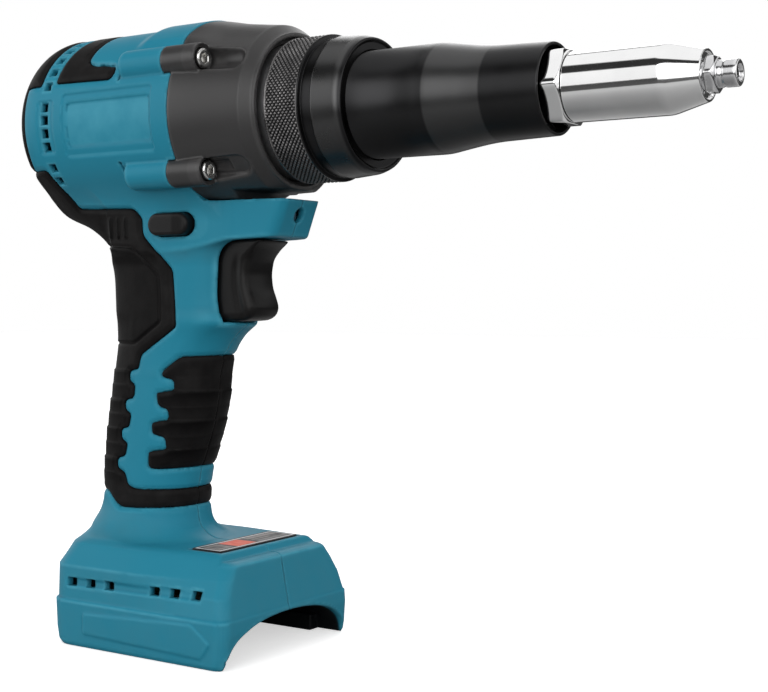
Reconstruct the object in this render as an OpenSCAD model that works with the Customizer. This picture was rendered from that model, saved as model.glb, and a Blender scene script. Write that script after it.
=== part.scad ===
// Battery rivet tool: a clamshell body with a motor barrel, a pistol handle and a battery foot,
// a two stage planetary gear case, and a nose that draws a rivet pin back through a drive screw.
// Pieces are placed with x = 0 where the gear case meets the shells, x forward along the pull axis,
// y to the left and z up from the floor; the whole tool is then centred on its length.

/* [Pull axis] */
// Height of the pull axis above the floor
axis_h = 195; // [190:1:205]
// Travel of the draw head
stroke = 20; // [14:1:22]

/* [Motor barrel] */
// Outer diameter of the motor barrel
barrel_d = 70; // [69:0.5:74]
// Length of the barrel behind the gear case
barrel_len = 76; // [75:1:84]
// Rounding of the rear edge of the barrel
barrel_edge_r = 16; // [10:1:18]
// Length of the shells over the gear case
lap_len = 6; // [4:0.2:7]
// Wall of the moulded shells
shell_t = 2.8; // [2.2:0.1:3]
// Thickness of the soft mouldings on the shells
rubber_t = 1.2; // [0.8:0.1:1.5]
// Rise of the saddle on top of the barrel
saddle_rise = 1.6; // [0.8:0.1:2.4]
// Length of the saddle on top of the barrel
saddle_len = 18; // [14:1:26]
// Width of one air slot
vent_w = 3.4; // [2:0.2:4]
// Distance from the rear end to the air slots
vent_x = 21; // [19:1:23]

/* [Gear case] */
// Length of the gear case
case_len = 42; // [41:0.5:46]
// Diameter of the gear case where it meets the shells
case_rear_d = 69.4; // [68:0.2:72]
// Diameter of the gear case mouth
case_mouth_d = 54.8; // [54:0.2:57]
// Distance from the pull axis to the flat underside
case_flat = 31; // [30.6:0.1:32]
// Width of the keel under the gear case
keel_w = 32; // [26:1:34]
// Diameter of a screw boss
boss_d = 10; // [9:0.5:11]
// Length of a screw boss on the gear case
boss_len = 14; // [11:1:17]
// Length of a screw boss on the shells
boss_tail = 18; // [16:1:22]
// Sideways distance of the screw bosses
boss_y = 25; // [24.5:0.25:26]
// Height of the screw bosses above and below the axis
boss_z = 20; // [19.5:0.25:21]
// Diameter of a gear case screw
case_screw_d = 4; // [3:0.5:4]
// Length of a gear case screw
case_screw_len = 26; // [20:1:28]
// Diameter of a gear case screw head
case_head_d = 7; // [6:0.5:7.5]
// Height of a gear case screw head
case_head_h = 3.6; // [3:0.2:4.4]

/* [Lock ring and sleeve] */
// Diameter over the knurl of the lock ring
ring_d = 51.4; // [50.4:0.2:52]
// Length of the lock ring
ring_len = 31.5; // [29:0.5:34]
// Length of the knurled band
knurl_len = 14; // [10:1:16]
// Length of the groove ahead of the knurl
groove_len = 6; // [4:0.5:7]
// Diameter of the lock ring at its front
ring_front_d = 46.4; // [45.6:0.2:48]
// Thickness of the lip that holds the sleeve
ring_lip_t = 2; // [1.5:0.1:3]
// Diameter of the sleeve behind its taper
sleeve_d = 37; // [36.4:0.2:38]
// Length of the sleeve ahead of the lock ring
sleeve_len = 68.5; // [64:0.5:74]
// Length of the straight rear part of the sleeve
sleeve_straight = 27.5; // [24:0.5:30]
// Length of the taper of the sleeve
sleeve_taper = 15; // [12:0.5:18]
// Diameter of the sleeve just ahead of its taper
sleeve_waist_d = 31.6; // [31:0.1:33]
// Diameter of the sleeve at its front
sleeve_front_d = 29.8; // [29.4:0.1:31]
// Wall of the sleeve at its taper
sleeve_t = 1.2; // [1:0.1:1.4]
// Diameter of the sleeve flange inside the lock ring
sleeve_flange_d = 42; // [40:0.2:42.4]
// Thickness of the sleeve flange
sleeve_flange_t = 4.5; // [3.5:0.1:5]

/* [Nose] */
// Size of the hexagon nut over its corners
nut_corner_d = 26.8; // [25.4:0.1:27]
// Thickness of the hexagon nut
nut_t = 10; // [8:0.5:11]
// Length of the nut that stands out of the sleeve
nut_proud = 6; // [4:0.5:7]
// Diameter of the nose barrel
nose_d = 22.4; // [22:0.1:22.8]
// Diameter of the thread behind the nose barrel
nose_thread_d = 19.4; // [19:0.1:20]
// Length of the straight nose barrel ahead of the nut
nose_straight = 32.5; // [28:0.5:36]
// Length of the cone of the nose barrel
nose_cone = 11.5; // [10:0.5:14]
// Diameter of the nose barrel at its front
nose_front_d = 16; // [14:0.5:18]
// Size of the nosepiece hexagon over its corners
tip_hex_d = 12.6; // [12:0.2:14]
// Thickness of the nosepiece hexagon
tip_hex_t = 3.5; // [2.5:0.1:5]
// Diameter of the nosepiece tip
tip_d = 8.4; // [7:0.1:9]
// Length of the nosepiece tip
tip_len = 6.3; // [5:0.1:8]
// Bore for the rivet pin
tip_bore_d = 4; // [2.4:0.1:4.6]

/* [Motor] */
// Diameter of the stator
stator_d = 53; // [51:0.2:53.2]
// Bore of the stator
stator_bore_d = 28.8; // [28.4:0.1:30]
// Length of a coil past each end of the stack
coil_over = 5; // [4:0.2:5.6]
// Diameter of the rotor
rotor_d = 27.6; // [26:0.1:27.8]
// Diameter of the motor shaft
shaft_d = 6; // [5.6:0.1:6.4]
// Diameter of the fan
fan_d = 50; // [44:1:52]
// Width of the fan
fan_w = 8; // [6:0.5:9]
// Outer diameter of the rear bearing
rear_bearing_d = 16; // [15:0.5:18]
// Width of the rear bearing
rear_bearing_w = 5; // [4:0.5:6]
// Outer diameter of the front bearing
front_bearing_d = 19; // [18:0.5:21]
// Width of the front bearing
front_bearing_w = 6; // [5:0.5:7]
// Thickness of the motor end plate
plate_t = 4; // [3:0.2:5]

/* [Gears] */
// Pitch diameter per tooth
gear_module = 0.9; // [0.86:0.01:0.92]
// Width of one gear
gear_w = 8; // [6:0.5:8.2]
// Thickness of a planet carrier
carrier_t = 3; // [2.4:0.1:3.2]
// Diameter of a planet pin
planet_pin_d = 4; // [3:0.1:5]
// Outer diameter of the ring gear
ring_gear_d = 52; // [50.4:0.1:52.4]

/* [Drive] */
// Diameter of the drive nut
drive_nut_d = 28; // [27:0.2:28.4]
// Diameter of the drive nut flange
nut_flange_d = 37; // [36:0.2:37.6]
// Thickness of the drive nut flange
nut_flange_t = 3.5; // [3:0.1:4]
// Length of the thread inside the drive nut
nut_thread_len = 16; // [12:0.5:16.5]
// Outer diameter of the nut bearing
nut_bearing_d = 42; // [40:0.2:42.4]
// Width of the nut bearing
nut_bearing_w = 8; // [6:0.5:8.5]
// Height of the thrust bearing
thrust_t = 4; // [3:0.2:4.4]
// Diameter of the thread that the lock ring screws on to
spigot_d = 44; // [43.4:0.2:44.8]
// Diameter of the drive screw
screw_d = 12; // [10:0.2:13]
// Diameter of the guide pin
guide_pin_d = 4; // [3:0.1:4.2]
// Diameter of the draw rod
rod_d = 10; // [8:0.2:10.8]

/* [Jaws] */
// Diameter of the jaw case
jaw_case_d = 15; // [14.4:0.1:15.2]
// Length of the jaw case
jaw_case_len = 35; // [32:0.5:37]
// Bore of the jaw case
jaw_case_bore_d = 11.6; // [11:0.1:12]
// Length of the jaws
jaw_len = 13; // [11:0.2:14]
// Opening between the jaws
jaw_bore_d = 3.4; // [2.4:0.1:4]
// Length of the jaw pusher
pusher_len = 8; // [6:0.5:9]
// Wire of the jaw spring
spring_wire_d = 1.2; // [0.8:0.1:1.4]

/* [Handle] */
// Depth of the handle from back to front
handle_depth = 52; // [48:0.5:56]
// Width of the handle
handle_w = 34; // [32:0.5:36]
// Distance of the handle behind the gear case joint
handle_x = 24; // [22:0.5:26]
// How square the handle's section is, 2 for an ellipse
handle_square = 2.5; // [2:0.1:3]
// Depth of one tooth in the edge of a grip
grip_tooth = 5; // [3:0.2:6]

/* [Shelf and trigger] */
// Height of the shelf under the gear case
shelf_h = 14.6; // [13:0.2:16]
// Reach of the shelf ahead of the gear case joint
shelf_reach = 37; // [34:0.5:40]
// Width of the shelf
shelf_w = 34; // [32:0.5:36]
// Slant of the front of the shelf
shelf_lean = 6; // [2:0.5:8]
// Rounding of the front corners of the shelf
shelf_round_r = 8; // [4:0.5:10]
// Diameter of the work light lens
lens_d = 5.2; // [4:0.2:6]
// Height of the trigger
trigger_h = 29; // [26:0.5:31]
// Reach of the trigger
trigger_reach = 14.5; // [13:0.5:16]
// Width of the trigger
trigger_w = 18; // [15:0.5:19]
// Travel of the trigger
trigger_travel = 7; // [4:0.5:7.5]
// Setback of the trigger from the front of the shelf
trigger_setback = 12.5; // [11:0.5:14]
// Length of the trigger's root inside the handle
trigger_root = 8; // [6:0.5:9]
// Length of the direction button
button_len = 17.5; // [14:0.5:19]
// Height of the direction button
button_h = 8; // [6:0.2:8.4]
// How far the direction button stands out, and travels
button_proud = 5; // [3:0.5:6]
// Length of the trigger switch
switch_len = 24; // [20:0.5:26]
// Width of the trigger switch
switch_w = 17; // [15:0.5:19]

/* [Foot] */
// Length of the battery foot
foot_len = 87; // [84:1:92]
// Width of the battery foot
foot_w = 76; // [74:1:80]
// Height of the battery foot
foot_h = 38; // [37:0.5:42]
// Distance from the gear case joint to the back of the foot
foot_rear = 53; // [52:0.5:55]
// Rounding of the foot's rear corners in plan
foot_corner_r = 12; // [8:0.5:14]
// Rounding of the foot's front corners in plan
foot_front_r = 5; // [3:0.5:6]
// Width between the battery rails
channel_w = 60; // [56:0.5:62]
// Height of the battery channel
channel_h = 13.5; // [12:0.5:14.5]
// Depth of the groove above each rail
rail_depth = 4; // [3:0.2:4.4]
// Height of each rail
rail_h = 6; // [4:0.2:7]
// Wall behind the battery channel
channel_wall = 8; // [6:0.5:10]
// Length of the label
label_len = 45; // [38:0.5:46]
// Width of the label
label_w = 12; // [10:0.5:13]
// Thickness of the label
label_t = 0.8; // [0.4:0.1:1.2]

/* [Electronics] */
// Length of the controller tray
tray_len = 54; // [46:1:58]
// Width of the controller tray
tray_w = 50; // [44:1:54]
// Depth of the controller tray
tray_h = 4.5; // [3.5:0.1:5.5]
// Thickness of the controller board
board_t = 1.6; // [1:0.1:2]
// Length of the terminal block
block_len = 32; // [28:0.5:35]
// Width of the terminal block
block_w = 40; // [34:0.5:46]
// Thickness of the terminal block
block_t = 4; // [3:0.1:5]
// Thickness of a battery contact
contact_t = 0.8; // [0.6:0.1:1.2]

/* [Shell screws] */
// Diameter of a shell screw
shell_screw_d = 3; // [2.5:0.1:3.4]
// Length of a shell screw
shell_screw_len = 20; // [18:0.5:22]
// Diameter of a shell screw head
shell_head_d = 5.6; // [5:0.1:6.2]
// Height of a shell screw head
shell_head_h = 2.2; // [1.6:0.1:2.6]
// Diameter of a screw post inside the shells
post_d = 8.6; // [8:0.1:9]

/* [Hidden] */

$fn = 64;
// clearance between pieces that sit against each other
seat_gap = 0.3;
// radial clearance of a turning or sliding fit
run_gap = 0.05;
// clearance of a piece pressed on its shaft
press_gap = 0.02;
// end clearance between gears and carriers
gear_gap = 0.4;
// end clearance of the drive nut, the draw head and the fan
end_gap = 1.2;
// depth of the case screw heads in their bosses and of the lock ring in the gear case
sink = 0.9;
// depth of the gear case mouth
mouth_depth = 2.7;
// extra length of every cut
overrun = 1;
// backlash between two gear flanks
backlash = 0.12;
// pressure angle of the gear teeth
pressure_angle = 25;
sun_teeth = 12;
planet_teeth = 18;
ring_teeth = sun_teeth + 2 * planet_teeth;
planet_count = 3;
teal = "#3a86a0";
black = "#262527";
steel = "#b9bcc0";

// places along the pull axis
rear_x = -barrel_len;
ring_x = case_len - sink;
ring_front_x = ring_x + ring_len;
flange_x = ring_front_x - ring_lip_t - sleeve_flange_t;
sleeve_front_x = ring_front_x + sleeve_len;
nut_front_x = sleeve_front_x + nut_proud;
nut_x = nut_front_x - nut_t;
cone_x = nut_front_x + nose_straight;
nose_front_x = cone_x + nose_cone;
tip_x = nose_front_x + tip_hex_t + tip_len;
spigot_x = flange_x - seat_gap;
screw_seat_x = boss_len - case_head_h - sink;
knurl_depth = ring_lip_t / 4;

// gear train, from the end plate forward
planet_r = gear_module * (sun_teeth + planet_teeth) / 2;
carrier_r = planet_r + planet_pin_d * 1.1;
first_x = gear_gap + end_gap;
first_carrier_x = first_x + gear_w + gear_gap;
second_x = first_carrier_x + carrier_t + gear_gap;
second_carrier_x = second_x + gear_w + gear_gap;
drive_nut_x = second_carrier_x + carrier_t;
ring_gear_end = second_x + gear_w + gear_gap;
nut_bearing_x = drive_nut_x + end_gap;
nut_flange_x = nut_bearing_x + nut_bearing_w + end_gap;
thrust_x = nut_flange_x + nut_flange_t + run_gap;
shoulder_x = thrust_x + thrust_t + run_gap;
drive_nut_len = stroke + nut_thread_len + 2 * gear_gap;
drive_nut_end = drive_nut_x + drive_nut_len;
thread_x = drive_nut_end - nut_thread_len;
front_flange_x = ring_gear_end + seat_gap;
front_flange_end = front_flange_x + carrier_t;
spigot_body_d = spigot_d + plate_t;

// draw head at rest
screw_head_len = guide_pin_d * 2;
screw_head_x = stroke + end_gap + max(drive_nut_end, spigot_x + guide_pin_d / 2 - screw_head_len / 2);
screw_head_d = screw_d + guide_pin_d * 2;
screw_tip_x = screw_head_x + screw_head_len;
nose_bore_end = cone_x + nose_cone * 0.3;
shank_x = cone_x + nose_cone * 0.6;
jaw_front_x = nose_bore_end - gear_gap;
jaw_case_x = jaw_front_x - jaw_case_len;
jaw_cone_x = jaw_front_x - jaw_len;
pusher_x = jaw_cone_x - pusher_len;
rod_end_x = jaw_case_x + (pusher_x - jaw_case_x) * 0.4;
jaw_mouth_d = jaw_case_bore_d / 2;
nose_rear_x = jaw_case_x - stroke - end_gap;
shank_d = nose_front_d * 0.58;
sleeve_bore_d = sleeve_waist_d - 2 * sleeve_t;
guide_pin_len = sleeve_d - sleeve_t * 2.8;

// motor, from both ends
rear_bearing_x = rear_x + shell_t + seat_gap;
rear_journal_d = shaft_d * 0.84;
post_x = rear_x + post_d / 2 + shell_t;
fan_x = max(rear_bearing_x + rear_bearing_w, post_x + post_d / 2) + end_gap;
plate_hub_d = front_bearing_d + plate_t * 1.3;
plate_hub_x = -plate_t / 2 - front_bearing_w - seat_gap;
coil_front_x = plate_hub_x - plate_t * 1.5;
stator_front_x = coil_front_x - coil_over;
stator_x = fan_x + fan_w + end_gap + coil_over;
stator_len = stator_front_x - stator_x;
barrel_in_r = barrel_d / 2 - shell_t;
plate_d = 2 * norm([boss_y, boss_z]) - boss_d - 2 * seat_gap;

// heights of the handle, shelf, trigger and foot
shelf_top = axis_h - case_flat - seat_gap;
shelf_z = shelf_top - shelf_h;
handle_span = axis_h - barrel_d / 2 - foot_h;
trigger_top = shelf_z - seat_gap;
trigger_z = trigger_top - trigger_h;
trigger_x = shelf_reach - trigger_setback;
trigger_back = trigger_x - trigger_reach - trigger_root;
switch_x = trigger_back - trigger_travel - end_gap - switch_len;
switch_h = trigger_h * 0.9;
switch_z = trigger_top - switch_h - seat_gap;
plunger_z = switch_z + switch_h * 0.55;
plunger_d = switch_w * 0.35;
button_z = shelf_z + (shelf_h - button_h) * 0.35;
button_x = -button_len * 0.8;
lens_z = shelf_z + shelf_h * 0.58;
lens_x = shelf_reach - shelf_lean * 0.42;
foot_front = foot_len - foot_rear;
foot_mid = (foot_front - foot_rear) / 2;
floor_z = channel_h + shell_t;
tray_x = foot_mid - tray_len * 0.55;
block_x = channel_wall - foot_rear + seat_gap;
label_x = foot_front - foot_len * 0.24;
post_head_y = shell_screw_len * 0.55;
cut_reach = foot_w + barrel_d;

// sections of the handle: height and centre as shares of its span, depth and width of its own sizes
handle_section_shares = [
  [-0.03, 0.000, 1.12, 1.36],
  [0.04, -0.045, 0.96, 1.10],
  [0.115, -0.057, 0.85, 1.00],
  [0.23, -0.045, 0.87, 1.00],
  [0.335, -0.022, 0.95, 1.00],
  [0.425, -0.007, 0.99, 1.00],
  [0.59, 0.036, 1.00, 0.99],
  [0.74, 0.050, 1.04, 0.99],
  [0.92, 0.036, 1.15, 1.00],
  [1.06, -0.008, 1.36, 1.00]];
// sections of the foot: height, then how far the side, the front and the back are drawn in
foot_section_shares = [
  [0, 0, 0.02, 0.01],
  [0.41, 0, 0, 0],
  [0.43, 0.01, 0.01, 0.01],
  [0.68, 0.02, 0.04, 0.015],
  [0.90, 0.12, 0.06, 0.03],
  [1, 0.18, 0.12, 0.06]];
// outer radius along the gear case behind its mouth
case_profile_shares = [[0, 1], [0.2, 0.99], [0.36, 0.955], [0.59, 0.9], [0.79, 0.84]];
// back grip edge ahead of the handle's middle, in shares of depth and of span
back_grip_shares = [
  [-0.04, 1.02], [0.06, 0.985], [0.065, 0.935], [0.30, 0.83], [0.33, 0.66], [0.02, 0.57]];
// trigger side view in shares of its reach and height
trigger_shares = [
  [0, 0.04], [0.35, 0.0], [0.74, 0.05], [0.88, 0.17], [0.86, 0.26], [0.75, 0.4], [0.7, 0.55],
  [0.73, 0.72], [0.82, 0.88], [1, 0.98], [0.97, 1], [0, 1]];
// lip below the trigger, in shares of its reach past the handle and of its height
lip_shares = [[-0.87, -0.5], [0.07, -0.36], [0.3, -0.24], [0.52, -0.12], [0.5, -0.02], [-0.87, -0.02]];
// tongue of the top bumper, in shares of the barrel's length from the rear and of its radius
tongue_shares = [
  [0.322, 0.38], [0.684, 0.369], [0.70, 0.414], [0.70, 0.48], [0.683, 0.514], [0.53, 0.555], [0.49, 0.60],
  [0.483, 0.726], [0.483, 1.1], [0.322, 1.1]];
// rim and rear cap of the top bumper in the same shares
rim_shares = [
  [-0.02, -0.514], [0.034, -0.514], [0.034, 0.371], [0.224, 0.371], [0.224, 1.1], [-0.02, 1.1]];
// screw posts: height on the barrel's radius, and place and height in the handle
barrel_post_shares = [0.66, -0.66];
handle_post_shares = [[-0.02, 0.47], [-0.1, 0.16], [-0.2, 0.95]];
// turns of the air slots round the axis, up from the side
vent_turns = [-40.5, -31, -17, -8.5, 0, 8, 22, 32.5, 43, 53];

function rounded(n) = sign(n) * pow(abs(n), 2 / handle_square);

// ring of points round a handle section
function handle_ring(row, inset) =
  let (
    z = foot_h + row[0] * handle_span,
    middle = -handle_x + row[1] * handle_span,
    half_depth = row[2] * handle_depth / 2 - inset,
    half_width = row[3] * handle_w / 2 - inset,
    steps = 28)
  [for (i = [0 : steps - 1])
    [middle + half_depth * rounded(cos(360 * i / steps)), half_width * rounded(sin(360 * i / steps)), z]];

// ring of points round a foot section with rounded corners
function foot_ring(row) =
  let (
    half_w = foot_w / 2 - row[1] * foot_w,
    front = foot_front - row[2] * foot_len,
    back = -foot_rear + row[3] * foot_len,
    steps = 5)
  [for (corner = [0 : 3], i = [0 : steps])
    let (
      ahead = corner == 0 || corner == 3,
      r = (ahead ? foot_front_r : foot_corner_r) * (1 - 2.5 * row[1]),
      turn = 90 * corner + 90 * i / steps,
      cx = ahead ? front - r : back + r,
      cy = corner < 2 ? half_w - r : r - half_w)
    [cx + r * cos(turn), cy + r * sin(turn), row[0] * foot_h]];

// solid through a stack of rings with the same number of points
module loft(rings) {
  n = len(rings[0]);
  m = len(rings);
  sides = [for (k = [0 : m - 2], i = [0 : n - 1])
    let (a = k * n + i, b = k * n + (i + 1) % n, c = b + n, d = a + n)
    each [[a, d, c], [a, c, b]]];
  polyhedron(
    [for (ring = rings) each ring],
    concat([[for (i = [0 : n - 1]) i]], sides, [[for (i = [n - 1 : -1 : 0]) (m - 1) * n + i]]));
}

// turns a piece drawn round its own z axis on to the pull axis
module on_axis() {
  translate([0, 0, axis_h]) rotate([90, 0, 90]) children();
}

// solid of revolution on the pull axis, from points of radius and place
module spun(profile) {
  on_axis() rotate_extrude() polygon(profile);
}

// tube on the pull axis
module tube(from, to, outer_d, inner_d) {
  on_axis() translate([0, 0, from]) difference() {
    cylinder(h = to - from, d = outer_d);
    translate([0, 0, -overrun]) cylinder(h = to - from + 2 * overrun, d = inner_d);
  }
}

// rod on the pull axis
module rod(from, to, d) {
  on_axis() translate([0, 0, from]) cylinder(h = to - from, d = d);
}

// side view outline carried across the tool
module across(from, to) {
  translate([0, to, 0]) rotate([90, 0, 0]) linear_extrude(to - from) children();
}

// front view outline carried along the tool
module along(from, to) {
  translate([from, 0, 0]) rotate([90, 0, 90]) linear_extrude(to - from) children();
}

// keeps one side of the middle plane: -1 right, 1 left
module one_side(side) {
  intersection() {
    children();
    translate([-cut_reach, side < 0 ? -cut_reach : 0, -overrun])
      cube([2 * cut_reach, cut_reach, 2 * axis_h]);
  }
}

// places of the four gear case screws round the axis
module at_bosses() {
  for (y = [-1, 1], z = [-1, 1])
    translate([0, y * boss_y, axis_h + z * boss_z]) rotate([0, 90, 0]) children();
}

// rear-rounded barrel, drawn in by an inset, up to a place ahead of it
module barrel(inset, front) {
  r = barrel_d / 2 - inset;
  edge = barrel_edge_r - inset;
  arc = [for (turn = [0 : 11.25 : 90])
    [r - edge + edge * sin(turn), rear_x + inset + edge - edge * cos(turn)]];
  spun(concat([[0, rear_x + inset]], arc, [[r, front], [0, front]]));
}

// handle drawn in by an inset
module handle(inset) {
  loft([for (row = handle_section_shares) handle_ring(row, inset)]);
}

// shelf under the gear case, with a leaning front and rounded corners, drawn in by an inset
module shelf(inset) {
  back = -handle_x - handle_depth / 4;
  neck_top = axis_h - barrel_d * 0.41;
  half_w = shelf_w / 2 - inset;
  intersection() {
    across(-half_w, half_w) polygon([
      [back, shelf_z + inset], [shelf_reach - shelf_lean - inset, shelf_z + inset],
      [shelf_reach - inset, shelf_top - inset], [-inset, shelf_top - inset],
      [-inset, neck_top], [back, neck_top]]);
    translate([0, 0, shelf_z]) linear_extrude(axis_h - shelf_z) union() {
      translate([back, -half_w]) square([shelf_reach - shelf_round_r - back, 2 * half_w]);
      translate([back, shelf_round_r - half_w])
        square([shelf_reach - inset - back, 2 * (half_w - shelf_round_r)]);
      for (y = [-1, 1]) translate([shelf_reach - shelf_round_r, y * (half_w - shelf_round_r)])
        circle(r = shelf_round_r - inset);
    }
  }
}

// raised saddle over the top, across the gear case joint
module saddle(from, to, drop) {
  r = barrel_d / 2 + saddle_rise;
  sweep = 76;
  on_axis() rotate([0, 0, 90 - sweep / 2]) rotate_extrude(angle = sweep)
    polygon([[barrel_in_r, from], [r - saddle_rise, from], [r, from + saddle_rise], [r - drop, to],
      [barrel_in_r, to]]);
}

// whole outside of the two shells
module shell_outside() {
  barrel(0, lap_len);
  saddle(-saddle_len, lap_len, 0);
  at_bosses() translate([0, 0, -boss_tail]) cylinder(h = boss_tail, d = boss_d);
  handle(0);
  shelf(0);
  across(-trigger_w * 0.66, trigger_w * 0.66) translate([trigger_x - trigger_reach, trigger_z]) polygon([
    for (p = lip_shares) [p[0] * trigger_reach, p[1] * trigger_h]]);
  loft([for (row = foot_section_shares) foot_ring(row)]);
}

// battery channel with a rail along each side and a rounded roof
module channel() {
  groove_w = channel_w + 2 * rail_depth;
  roof_r = channel_h - rail_h;
  along(channel_wall - foot_rear, foot_front + overrun) union() {
    translate([-channel_w / 2, -overrun]) square([channel_w, channel_h / 2 + overrun]);
    translate([-groove_w / 2 + roof_r, rail_h]) square([groove_w - 2 * roof_r, roof_r]);
    intersection() {
      translate([-groove_w / 2, rail_h]) square([groove_w, roof_r]);
      for (y = [-1, 1]) translate([y * (groove_w / 2 - roof_r), rail_h]) circle(r = roof_r);
    }
  }
}

// hollow of the foot above the battery channel
module foot_hollow() {
  half_low = foot_w / 2 - shell_t * 1.6;
  half_high = foot_w * 0.29 - shell_t;
  along(shell_t * 1.5 - foot_rear, foot_front - foot_len * 0.04 - shell_t * 2) polygon([
    [-half_low, floor_z], [half_low, floor_z], [half_low, foot_h * 0.68],
    [half_high, foot_h - shell_t * 1.7], [-half_high, foot_h - shell_t * 1.7], [-half_low, foot_h * 0.68]]);
}

// all the room inside the shells
module shell_inside() {
  barrel(shell_t, lap_len + overrun);
  intersection() {
    handle(shell_t);
    translate([-cut_reach, -cut_reach, foot_h - shell_t * 2])
      cube([2 * cut_reach, 2 * cut_reach, axis_h - foot_h]);
  }
  shelf(shell_t);
  foot_hollow();
}

// places of the shell screws, along the shells and in height
function post_places() = concat(
  [for (p = barrel_post_shares) [post_x, axis_h + p * barrel_d / 2]],
  [for (p = handle_post_shares) [-handle_x + p[0] * handle_depth, foot_h + p[1] * handle_span]],
  [[shelf_reach * 0.5, shelf_z + shelf_h * 0.42],
   [-foot_rear + shell_t + post_d / 2, foot_h * 0.62],
   [foot_front - foot_len * 0.04 - shell_t - post_d / 2, foot_h * 0.58]]);

module at_posts() {
  for (p = post_places()) translate([p[0], 0, p[1]]) rotate([-90, 0, 0]) children();
}

// ribs, seats and posts that carry the motor, the switch and the screws
module shell_seats() {
  land_t = shell_t * 0.8;
  room_d = 2 * barrel_in_r + shell_t;
  for (x = [stator_x + land_t, stator_front_x - 2 * land_t])
    tube(x, x + land_t, room_d, stator_d + 2 * seat_gap);
  tube(rear_x, rear_bearing_x + rear_bearing_w, rear_bearing_d + 2 * shell_t,
    rear_bearing_d + 2 * seat_gap);
  tube(-plate_t - land_t - seat_gap, -plate_t - seat_gap, room_d, plate_d - 2 * shell_t);
  tube(-plate_t - land_t, 0, room_d, plate_d + 2 * seat_gap);
  at_bosses() translate([0, 0, -boss_tail]) cylinder(h = boss_tail, d = boss_d);
  at_posts() translate([0, 0, -cut_reach / 2]) cylinder(h = cut_reach, d = post_d);
  for (y = [-1, 1], x = [switch_x + switch_len * 0.2, switch_x + switch_len * 0.7])
    translate([x, y > 0 ? switch_w / 2 + seat_gap : -handle_w / 2 - switch_w / 2 - seat_gap, switch_z])
      cube([land_t, handle_w / 2, switch_h]);
}

// openings cut through the shells
module shell_openings() {
  channel();
  translate([trigger_back - trigger_travel - seat_gap, -trigger_w / 2 - seat_gap, trigger_z - seat_gap])
    cube([trigger_x + overrun - trigger_back + trigger_travel, trigger_w + 2 * seat_gap,
      trigger_h + 2 * seat_gap]);
  translate([button_x - seat_gap, -cut_reach / 2, button_z - seat_gap])
    cube([button_len + 2 * seat_gap, cut_reach, button_h + 2 * seat_gap]);
  translate([lens_x - shelf_reach / 4, 0, lens_z]) rotate([0, 90, 0])
    cylinder(h = shelf_reach, d = lens_d + 2 * seat_gap);
  for (side = [-1, 1], turn = vent_turns) on_axis()
    rotate([0, 0, side < 0 ? 180 - turn : turn])
      translate([barrel_in_r - vent_w, -vent_w / 2, rear_x + vent_x - vent_w / 2])
        cube([barrel_d / 2, vent_w, vent_w]);
  for (side = [-1, 1], k = [-2.5, -1.7, -0.9, 0.9, 1.7, 2.5])
    translate([foot_mid + k * foot_len * 0.13 - vent_w, side > 0 ? foot_w * 0.4 : -foot_w, foot_h * 0.66])
      cube([vent_w * 1.6, foot_w * 0.6, vent_w * 0.7]);
  translate([label_x - label_w / 2 - seat_gap, -label_len / 2 - seat_gap, foot_h - label_t / 2])
    cube([label_w + 2 * seat_gap, label_len + 2 * seat_gap, foot_h]);
  translate([lap_len, -keel_w, shelf_top]) cube([case_len, 2 * keel_w, axis_h - shelf_top]);
  at_bosses() cylinder(h = lap_len + overrun, d = boss_d + 2 * seat_gap);
}

// layer of the shells that a soft moulding takes, from an outline in side view
module skin() {
  intersection() {
    difference() {
      union() {
        barrel(0, 0);
        handle(0);
      }
      barrel(rubber_t, overrun);
      handle(rubber_t);
    }
    across(-cut_reach, cut_reach) children();
  }
}

// side view of the back grip, with a toothed front edge and a collar at its foot
module back_grip_outline() {
  grip_low = 0.165;
  grip_high = 0.52;
  pitch = (grip_high - grip_low) / 4;
  lean = 0.5;
  teeth = [for (k = [0 : 3], step = [0, 1, 2, 3])
    let (h = grip_high - pitch * (k + [0, 0.45, 0.55, 0.95][step]))
    [-handle_x + (0.01 - lean * (grip_high - h)) * handle_depth - (step == 1 || step == 2 ? grip_tooth : 0),
     foot_h + h * handle_span]];
  edge = [for (p = back_grip_shares) [-handle_x + p[0] * handle_depth, foot_h + p[1] * handle_span]];
  collar = [[handle_depth, foot_h + 0.185 * handle_span], [handle_depth, foot_h + 0.13 * handle_span]];
  heel = [[-handle_x - handle_depth, foot_h + 0.115 * handle_span],
    [-handle_x - 2 * handle_depth, foot_h + 0.5 * handle_span]];
  tail = [[rear_x - overrun, foot_h + 1.139 * handle_span], [rear_x * 0.79, foot_h + 1.139 * handle_span],
    [rear_x * 0.763, foot_h + 1.025 * handle_span]];
  polygon(concat(edge, teeth, collar, heel, tail));
}

// side view of the front grip with its toothed back edge
module front_grip_outline() {
  grip_low = 0.22;
  grip_high = 0.56;
  pitch = (grip_high - grip_low) / 4;
  lean = 0.42;
  teeth = [for (k = [0 : 3], step = [0, 1, 2, 3])
    let (h = grip_high - pitch * (k + [0, 0.5, 0.6, 0.95][step]))
    [-handle_x + (0.23 - lean * (grip_high - h)) * handle_depth + (step > 1 ? grip_tooth : 0),
     foot_h + h * handle_span]];
  front = [[handle_depth, foot_h + 0.225 * handle_span], [handle_depth, foot_h + 0.575 * handle_span]];
  polygon(concat(teeth, front));
}

// side view of the top bumper: a rim behind the air slots and a tongue ahead of them
module top_bumper_outline() {
  translate([0, axis_h]) {
    for (shares = [tongue_shares, rim_shares])
      polygon([for (p = shares) [rear_x + p[0] * barrel_len, p[1] * barrel_d / 2]]);
  }
}

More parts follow.
